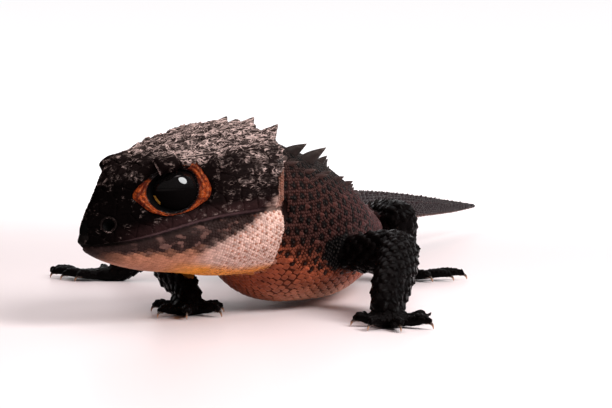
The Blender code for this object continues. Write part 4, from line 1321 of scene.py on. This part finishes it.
def keeled(keel, across=6, along=6, pointed=0.6, thick=0.16):
    """An overlapping scale, open below, one long and one wide, with a keel that rises to its rear point."""
    bm = bmesh.new()
    bmesh.ops.create_grid(bm, x_segments=across, y_segments=along, size=0.5)
    crests = bm.verts.layers.float.new("crest")
    for vert in bm.verts:
        x, y = 2 * vert.co.x, 2 * vert.co.y
        border = max(abs(x), abs(y)) > 0.99
        wide = math.sqrt(max(0.0, 1 - (0.92 * abs(y)) ** (3.2 if y < 0 else 2.6 - pointed)))
        ridge = math.exp(-((x / 0.3) ** 2)) * (0.35 + 0.65 * float(smooth_step(-1, 0.8, y)))
        high = thick * (1 - x * x) ** 0.5 * (0.7 + 0.3 * y) + keel * ridge + 0.06 * y
        low, top, most = (-0.6, 0.7, ridge) if keel > 0 else (0.4, 0.9, 0.4)
        vert[crests] = most * float(smooth_step(low, top, y))
        rear = 1 + 0.16 * (1 - abs(x)) * pointed if y > 0 else 1
        vert.co = Vector((0.5 * x * wide, 0.5 * y * rear, -0.26 if border else high))
    return bm


def spine():
    """A low thorn for the rows of the back, one long, one wide and one high."""
    axes = Vector((0, 0, 0)), Vector((0, 1, 0)), Vector((0, 0, 1))
    return horn(*axes, 1.0, 1.0, 1.0, around=12, rings=9, rough=0.0, lean=0.6)


def stood(master, points, turns, sizes):
    """Geometry Nodes stand a copy of the master on each root, turned and sized, and realize the copies."""
    bmesh.ops.triangulate(master, faces=master.faces)
    master_mesh = mesh_of(master, "scale")
    master_object = bpy.data.objects.new("scale", master_mesh)
    cloud = bpy.data.meshes.new("roots")
    cloud.vertices.add(len(points))
    cloud.vertices.foreach_set("co", points.astype(np.float32).ravel())
    for name, values in (("turned", turns), ("size", sizes)):
        layer = cloud.attributes.new(name, "FLOAT_VECTOR", "POINT")
        layer.data.foreach_set("vector", values.astype(np.float32).ravel())
    group = bpy.data.node_groups.new("stood", "GeometryNodeTree")
    for way in ("INPUT", "OUTPUT"):
        group.interface.new_socket("Geometry", in_out=way, socket_type="NodeSocketGeometry")

    def added(kind, **settings):
        made = group.nodes.new(kind)
        for key, value in settings.items():
            setattr(made, key, value)
        return made

    start, end = added("NodeGroupInput"), added("NodeGroupOutput")
    to_points, stand = added("GeometryNodeMeshToPoints"), added("GeometryNodeInstanceOnPoints")
    scale, realize = added("GeometryNodeObjectInfo"), added("GeometryNodeRealizeInstances")
    turned = added("GeometryNodeInputNamedAttribute", data_type="FLOAT_VECTOR")
    sized = added("GeometryNodeInputNamedAttribute", data_type="FLOAT_VECTOR")
    rotation = added("FunctionNodeEulerToRotation")
    turned.inputs["Name"].default_value = "turned"
    sized.inputs["Name"].default_value = "size"
    scale.inputs["Object"].default_value = master_object
    for source, target in (
        (start.outputs[0], to_points.inputs["Mesh"]),
        (to_points.outputs["Points"], stand.inputs["Points"]),
        (scale.outputs["Geometry"], stand.inputs["Instance"]),
        (turned.outputs["Attribute"], rotation.inputs["Euler"]),
        (rotation.outputs["Rotation"], stand.inputs["Rotation"]),
        (sized.outputs["Attribute"], stand.inputs["Scale"]),
        (stand.outputs["Instances"], realize.inputs["Geometry"]),
        (realize.outputs["Geometry"], end.inputs[0]),
    ):
        group.links.new(source, target)
    holder = in_scene("roots", cloud)
    holder.modifiers.new("stood", "NODES").node_group = group
    made = evaluated(holder)
    bpy.data.objects.remove(master_object)
    return made, master_mesh


COAT_PATCH = 0.003  # a scale's share of the unwrap


class Coat:
    """The roots of one kind of scale. A root is a place on the skin, with the way its scale lies."""

    def __init__(self, seed):
        self.draw = random.Random(seed)
        self.points, self.turns, self.sizes, self.tints, self.unwrap = [], [], [], [], []

    def root(self, point, rearward, size, unwrap, tint=1.0, reach=0.9, lift=0.0, jitter=0.1):
        """Adds a scale on the skin nearest to a point, unless the skin lies far from it."""
        stray = Vector([self.draw.uniform(-jitter, jitter) for _ in range(3)]) * size[0]
        found, out, _, apart = skin_tree.find_nearest(point + stray)
        if apart > reach:
            return
        back = square_to(out, rearward)
        back = (back + back.cross(out) * self.draw.uniform(-jitter, jitter)).normalized()
        side = back.cross(out)
        self.points.append(found + out * lift)
        self.turns.append(Matrix((side, back, out)).transposed().to_euler())
        grown = self.draw.uniform(1 - jitter, 1 + jitter)
        self.sizes.append([value * grown for value in size])
        self.tints.append(np.array(tint) * np.ones(3) * self.draw.uniform(0.86, 1.14))
        self.unwrap.append(unwrap)

    def piece(self, name, master, material, slot, keep=None):
        """Makes the scales, gives each the hide's colour at its root and a patch of the skin's unwrap."""
        points = np.array(self.points)
        belongs = shares([Vector(p) for p in points])
        kept = np.ones(len(points), bool) if keep is None else keep(belongs)
        points, belongs = points[kept], belongs[kept]
        turns, sizes, tints, unwrap = (
            np.array(values)[kept] for values in (self.turns, self.sizes, self.tints, self.unwrap)
        )
        mesh, master_mesh = stood(master, points, turns, sizes)
        own = np.array([vert.co.xy for vert in master_mesh.vertices])
        each = len(own)
        colours = hide_colours(points, *belongs.T) * tints
        paint(mesh, "hide", np.repeat(colours, each, axis=0).clip(0, 1))
        owners = np.empty(len(mesh.loops), np.int32)
        mesh.loops.foreach_get("vertex_index", owners)
        layer = mesh.uv_layers.get("OFBake") or mesh.uv_layers.new(name="OFBake")
        patches = unwrap[owners // each] + COAT_PATCH * own[owners % each]
        layer.data.foreach_set("uv", patches.astype(np.float32).ravel())
        finished(mesh, name, material)


def back_patch(turn, s):
    """Where a scale of the back or a flank has its patch on the unwrap."""
    return 0.5 + 0.9 * turn, 0.02 + 0.3 * s / BODY.length


def ring_turns(surface, s, step, first=0.0, last=1.0, shifted=False):
    """Even steps along a section's rim, in turns."""
    turns = np.linspace(first, last, 73)
    rim = np.array([surface(turn, s) for turn in turns])
    arc = np.concatenate([[0.0], np.cumsum(np.linalg.norm(np.diff(rim, axis=0), axis=1))])
    count = max(1, round(arc[-1] / step))
    return np.interp((np.arange(count) + (0.5 if shifted else 0.0)) * arc[-1] / count, arc, turns)


def rows_between(first, last, step):
    """Stations for rows of scales; the step may change on the way."""
    stations = [first]
    while stations[-1] < last:
        stations.append(stations[-1] + (step(stations[-1]) if callable(step) else step))
    return stations


def of_trunk(belongs):
    return (belongs[:, 0] < 0.5) & (belongs[:, 1] < 0.5)


def bead_step(s):
    return BEAD_STEP + 0.22 * float(smooth_step(SHOULDER - 4, SHOULDER + 24, s))


# The pits' black is painted shadow: a dark flat disc lies in each, and the beads round it are painted darker
# as shade
PIT_STEP = 1.65  # from one black pit to the next, and how wide they are
PIT_HOLE, PIT_SHADE_EDGE, PIT_SHADOW_WIDE = 0.48, 0.62, 0.95
pits = []
for row, s in enumerate(rows_between(NAPE - 1, SHOULDER + 26, 0.87 * PIT_STEP)):
    pits += [body_point(turn, s) for turn in ring_turns(body_point, s, PIT_STEP, -0.36, 0.36, row % 2)]
pit_tree = tree_of(pits)
neck_beads, flank_beads, studs = Coat(21), Coat(23), Coat(22)
# Painted shadow: a near-black flat bead lies in each pit
for k, pit in enumerate(pits):
    unwrap = (0.1 + 0.8 * k / len(pits), 0.98)
    neck_beads.root(pit, Vector((0, 1, 0)), (PIT_SHADOW_WIDE, PIT_SHADOW_WIDE, 0.22), unwrap, 0.05, jitter=0.12)
for row, s in enumerate(rows_between(NAPE - 1.0, VENT, lambda s: 0.87 * bead_step(s))):
    heading = BODY.heading(s)
    size = bead_step(s) * 1.16
    plain = float(smooth_step(SHOULDER + 14, SHOULDER + 26, s))
    for k, turn in enumerate(ring_turns(body_point, s, bead_step(s), -0.36, 0.36, row % 2)):
        at, unwrap = body_point(turn, s), back_patch(turn, s)
        apart = pit_tree.find(at)[2] + plain
        if apart < PIT_HOLE:
            continue
        if row % 7 == 3 and k % 9 == (row // 7) % 9 and s > SHOULDER - 5 and abs(turn) > 0.16:
            studs.root(at, heading, (1.5 * size, 2.0 * size, 1.1 * size), unwrap, 1.5, lift=0.05)
            continue
        # Painted shade: beads near a pit are darker, and they stand lower
        pale = 0.06 + 0.94 * float(smooth_step(PIT_HOLE + 0.1, PIT_SHADE_EDGE, apart))
        coat = neck_beads if s < SHOULDER + 3 else flank_beads
        coat.root(at, heading, (size, size, (0.3 + 0.25 * pale) * size), unwrap, pale, jitter=0.14)
bead_material = hide_finish("beads", dry=0.14, Roughness=0.5, Specular_IOR_Level=0.035)
neck_beads.piece("neck_beads", dome(), bead_material, "back", of_trunk)
flank_beads.piece("flank_beads", dome(), bead_material, "back", of_trunk)
studs.piece("flank_studs", keeled(0.3), bead_material, "back", of_trunk)


# Thorns of the back
# Four rows of bony thorns run from the nape to the hips, the inner two the largest, and go on as keeled
# ridges down the tail. Each is a keeled scale grown into a point that leans back.
# Turn from the spine, first and last place, step, and the height at both ends
THORN_ROWS = (
    (0.083, NAPE + 4.5, SHOULDER, 3.6, 2.1, 3.2),
    (0.055, SHOULDER + 2.2, VENT - 1.2, 3.9, 1.6, 1.1),
    (0.140, NAPE + 3.0, SHOULDER - 0.6, 3.0, 0.9, 0.9),
    (0.130, SHOULDER + 1.6, VENT - 1.2, 3.2, 0.95, 0.8),
    (0.075, VENT + 1.4, BODY.length - 12, 3.0, 1.0, 0.4),
    (0.190, VENT + 1.4, BODY.length - 12, 3.0, 0.9, 0.3),
)
thorns = Coat(31)
for turn, first, last, step, first_high, last_high in THORN_ROWS:
    for s in rows_between(first, last - step / 2, step):
        high = first_high + (last_high - first_high) * (s - first) / (last - first)
        for sign in (-1, 1):
            size = (0.6 + 0.7 * high, 1.2 + 1.3 * high, high)
            thorns.root(body_point(sign * turn, s), BODY.heading(s), size, back_patch(sign * turn, s), 1.3)
thorn_material = hide_finish("thorns", dry=0.3, Roughness=0.5, Specular_IOR_Level=0.06)
thorns.piece("back_thorns", spine(), thorn_material, "back")


# Belly scales
# Larger smooth scales under the trunk, in straight overlapping rows, pale orange brown to cream.
BELLY_STEP = 1.05
belly = Coat(41)
for row, s in enumerate(rows_between(NAPE - 2.0, VENT + 1, 0.8 * BELLY_STEP)):
    for turn in ring_turns(body_point, s, BELLY_STEP, 0.352, 0.648, row % 2):
        belly.root(
            body_point(turn, s), BODY.heading(s), (1.12 * BELLY_STEP, 1.25 * BELLY_STEP, 0.6),
            (turn, 0.36 + 0.2 * s / BODY.length),
        )
belly_material = hide_finish("belly", dry=0.1, Roughness=0.45, Specular_IOR_Level=0.08)
belly.piece("belly_scales", keeled(0.0), belly_material, "back", of_trunk)


# Tail scales
# Whorls of narrow keeled scales ring the tail, smaller towards its tip.
def tail_step(s):
    return 1.35 - 0.85 * float(smooth_step(VENT, BODY.length, s))


tail = Coat(51)
for row, s in enumerate(rows_between(VENT + 0.5, BODY.length - 0.6, lambda s: 0.85 * tail_step(s))):
    size = tail_step(s)
    for turn in ring_turns(body_point, s, size, shifted=row % 2):
        tail.root(
            body_point(turn, s), BODY.heading(s), (1.1 * size, 1.35 * size, size),
            (turn, 0.58 + 0.2 * s / BODY.length), reach=0.6,
        )
tail_material = hide_finish("tail", dry=0.2, Roughness=0.4, Specular_IOR_Level=0.08)
tail.piece("tail_scales", keeled(0.26), tail_material, "back", of_trunk)


# Limb scales
# The legs wear black, glossy, strongly keeled scales in slanting rows, larger where the leg is thicker.
# Fingers and toes have a row of short plates over each.
LIMB_STEP = 1.6
TOE_STEP = 0.82
leg_scales, toe_scales = Coat(61), Coat(62)
for index, limb in enumerate(limbs.values()):
    shelf = 0.80 + 0.05 * index
    for half, route in enumerate((limb.upper, limb.lower)):
        surface = limb.skin(route)
        for row, s in enumerate(rows_between(0.6, route.length - 0.4, 0.82 * LIMB_STEP)):
            size = LIMB_STEP * min(1.0, 0.55 + 0.2 * max(route.at(s)[3:5]))
            for turn in ring_turns(surface, s, size, shifted=row % 2):
                leg_scales.root(
                    surface(turn, s), route.heading(s), (1.16 * size, 1.45 * size, 0.62 * size),
                    (0.5 * half + 0.48 * turn, shelf + 0.045 * s / route.length), reach=0.55, jitter=0.04,
                )
    for k in range(5):
        toe_surface, route = limb.toe_skin(k)
        for row, s in enumerate(rows_between(1.0, route.length + 0.1, 0.8 * TOE_STEP)):
            for step, turn in enumerate((0.0, -0.19, 0.19)):
                toe_scales.root(
                    toe_surface(turn, s), route.heading(s),
                    (TOE_STEP * (1.15 if step == 0 else 0.8), 1.2 * TOE_STEP, 0.55),
                    (0.1 + 0.18 * k + 0.1 * turn, shelf + 0.02 + 0.02 * s / route.length), reach=0.55,
                )
limb_material = hide_finish("limb_scales", dry=0.01, Roughness=0.2, Specular_IOR_Level=0.016)
for coat, name, scale in (
    (leg_scales, "leg_scales", keeled(0.24)),
    (toe_scales, "toe_plates", keeled(0.08, 4, 4)),
):
    coat.piece(name, scale, limb_material, "limb", lambda belongs: belongs[:, 1] > 0.5)


# Jaw and throat scales
# The lower jaw has smooth low shields along the lip and chin, and passes into fine pale beads on the
# jowl and the orange throat. The same beads edge the casque's rear.
JAW_BEAD = 0.44
SPOT_STEP = 0.98  # brown spots among the jowl's beads
spots = []
for row, back in enumerate(rows_between(15.0, HEAD_LENGTH, 0.87 * SPOT_STEP)):
    spots += [jaw_point(turn + draw.uniform(-0.003, 0.003), back + draw.uniform(-0.14, 0.14))
              for turn in ring_turns(jaw_point, back, SPOT_STEP, 0.2, 0.8, row % 2)]
spot_tree = tree_of(spots)
jowl, chin = Coat(71), Coat(72)
rear = head_way(0, 1, 0.05)
for row, back in enumerate(rows_between(0.8, HEAD_LENGTH - 0.1, 0.87 * JAW_BEAD)):
    lip_turn = 0.2 + 0.03 * float(smooth_step(16, 10, back))
    for turn in ring_turns(jaw_point, back, JAW_BEAD, lip_turn, 1 - lip_turn, row % 2):
        local = jaw_point(turn, back)
        unwrap = (turn, 0.66 + 0.1 * back / HEAD_LENGTH)
        raised = float(smooth_step(12, 18, back - 4 * abs(0.5 - abs(turn - 0.5))))
        spotted = float(smooth_step(0.30, 0.18, spot_tree.find(local)[2])) * float(smooth_step(15, 19, back))
        coat = jowl if raised > 0.5 and local.z < jowl_height(local.y) else chin
        size = (JAW_BEAD * 1.04, JAW_BEAD * (1.3 - 0.25 * raised), JAW_BEAD * (0.12 + 0.36 * raised))
        tint = (1 - 0.45 * spotted, 1 - 0.66 * spotted, 1 - 0.74 * spotted)
        coat.root(HEAD @ local, rear, size, unwrap, tint, reach=0.5)
for row, back in enumerate((25.7, 26.1, 26.5, 26.9)):
    for sign in (-1, 1):
        for index in np.linspace(1.9, 4.9, 26) + 0.06 * (row % 2):
            at = HEAD @ head_point(0.5 + sign * (7 - index) / 14, min(back, HEAD_LENGTH))
            jowl.root(at, rear, (0.5, 0.5, 0.3), (0.5 + 0.1 * sign * index, 0.78 + 0.001 * back))
jowl_material = hide_finish("jowl", dry=0.3, pale=(0.85, 0.66, 0.58), Roughness=0.42, Specular_IOR_Level=0.22)
chin_material = hide_finish("chin", dry=0.04, pale=(0.7, 0.5, 0.4), Roughness=0.45, Specular_IOR_Level=0.04)
jowl.piece("jowl_beads", dome(), jowl_material, "jaw")
chin.piece("chin_beads", dome(), chin_material, "jaw")


# Claws
# Short curved claws of dark horn with pale tips, one on each toe. Each grows from under the last
# toe plate and its point rests on the ground.
CLAW_PATH = ((-0.8, 0.9, 0.26), (-0.2, 0.94, 0.25), (0.15, 0.78, 0.2), (0.36, 0.45, 0.12), (0.44, 0.1, 0.04))
HORN, DARK_HORN, CLAW_TIP = (0.05, 0.03, 0.02), (0.02, 0.012, 0.01), (0.36, 0.18, 0.10)
claw_finish = Finish("claw", Roughness=0.35, Specular_IOR_Level=0.4)
claw_root = claw_finish.mix(claw_finish.between(claw_finish.grain(1500, 2), 0.3, 0.7), HORN, DARK_HORN)
claw_colour = claw_finish.mix(claw_finish.attribute("tip", 2), claw_root, CLAW_TIP)
claw_material = claw_finish.wear(claw_finish.grain(7000, 2), 0.2, 0.00005, Base_Color=claw_colour)
claws = []
for limb in limbs.values():
    for k in range(5):
        away = limb.toe_route(k)[1]
        route = limb.standing(away, [(limb.toes[k] + far, high, radius) for far, high, radius in CLAW_PATH])
        claw = tube_of(finger_skin(route, away, 0.8), route.length, 14, 16)
        tips = claw.verts.layers.float.new("tip")
        for vert in claw.verts:
            vert[tips] = float(smooth_step(0.85, 0.45, vert.co.z))
        claws.append(claw)
finished(join(claws), "claws", claw_material)


# Floor, backdrop and light
# A plain pale sheet lies under the animal and curves up behind it, where it glows by its own emission,
# painted light with no lamp behind it, so that it fades to white. One soft window-like light from the
# animal's upper left, and a wide weaker one above.
# Metres: floor before and behind the middle of the animal, bend and wall
SWEEP_FRONT, SWEEP_FLOOR, SWEEP_BEND, SWEEP_WALL = 1.0, 0.9, 0.3, 1.6
SHEET_TONES = ((0.80, 0.71, 0.715), (0.78, 0.69, 0.695))
SHEET_FAR, SHEET_GLOW = (0.1, 0.1, 0.1), (0.93, 0.91, 0.92)
sweep = bmesh.new()
bmesh.ops.create_grid(sweep, x_segments=4, y_segments=60, size=0.5)
for vert in sweep.verts:
    bend = math.pi / 2 * SWEEP_BEND
    run = (vert.co.y + 0.5) * (SWEEP_FLOOR + SWEEP_FRONT + bend + SWEEP_WALL) - SWEEP_FRONT - SWEEP_FLOOR
    turn = max(0.0, min(math.pi / 2, run / SWEEP_BEND))
    rise = max(0.0, run - bend)
    vert.co = Vector((
        4 * vert.co.x,
        SWEEP_FLOOR + (run if run < 0 else SWEEP_BEND * math.sin(turn)),
        SWEEP_BEND * (1 - math.cos(turn)) + rise,
    ))
sweep.normal_update()
sweep_mesh = mesh_of(sweep, "sweep")
sweep_mesh.shade_smooth()
sweep_finish = Finish("sweep", Roughness=0.36, Specular_IOR_Level=0.5, Emission_Strength=1.0)
sweep_y = sweep_finish.node("SeparateXYZ", None, sweep_finish.place(), output=1)
# Painted light: the sweep's own glow, rising behind the animal
glow = sweep_finish.mix(sweep_finish.between(sweep_y, -0.02, 0.3), (0.0, 0.0, 0.0), SHEET_GLOW)
sheet_tone = sweep_finish.mix(sweep_finish.grain(3, 2), *SHEET_TONES)
sheet_tone = sweep_finish.mix(sweep_finish.between(sweep_y, 0.1, 0.6), sheet_tone, SHEET_FAR)
sweep_mesh.materials.append(sweep_finish.wear(Base_Color=sheet_tone, Emission_Color=glow))
sweep_piece = in_scene("sweep", sweep_mesh)

world = bpy.data.worlds.new("surround")
bpy.context.scene.world = world
world.use_nodes = True
surround = world.node_tree.nodes["Background"]
surround.inputs["Color"].default_value = (1.0, 0.93, 0.93, 1)
surround.inputs["Strength"].default_value = 0.12
bpy.context.scene.view_settings.view_transform = "Standard"


def soft_light(name, at, wide, radiance, tint=(1, 1, 1), aim=Vector((-12, -20, 12))):
    """An oval light that faces the head. Its power follows from how bright it looks."""
    data = bpy.data.lights.new(name, "AREA")
    data.shape = "ELLIPSE"
    data.size, data.size_y = wide * MM, 1.2 * wide * MM
    data.energy = radiance * math.pi * math.pi / 4 * data.size * data.size_y
    data.color = tint
    light = in_scene(name, data)
    light.location = PLACED @ Vector(at)
    light.rotation_euler = (aim - Vector(at)).to_track_quat("-Z", "Y").to_euler()


soft_light("window", (165, -97, 173), 140, 16)
soft_light("overhead", (-20, 40, 340), 330, 2.1, (1, 0.87, 0.86), Vector((0, 0, 0)))
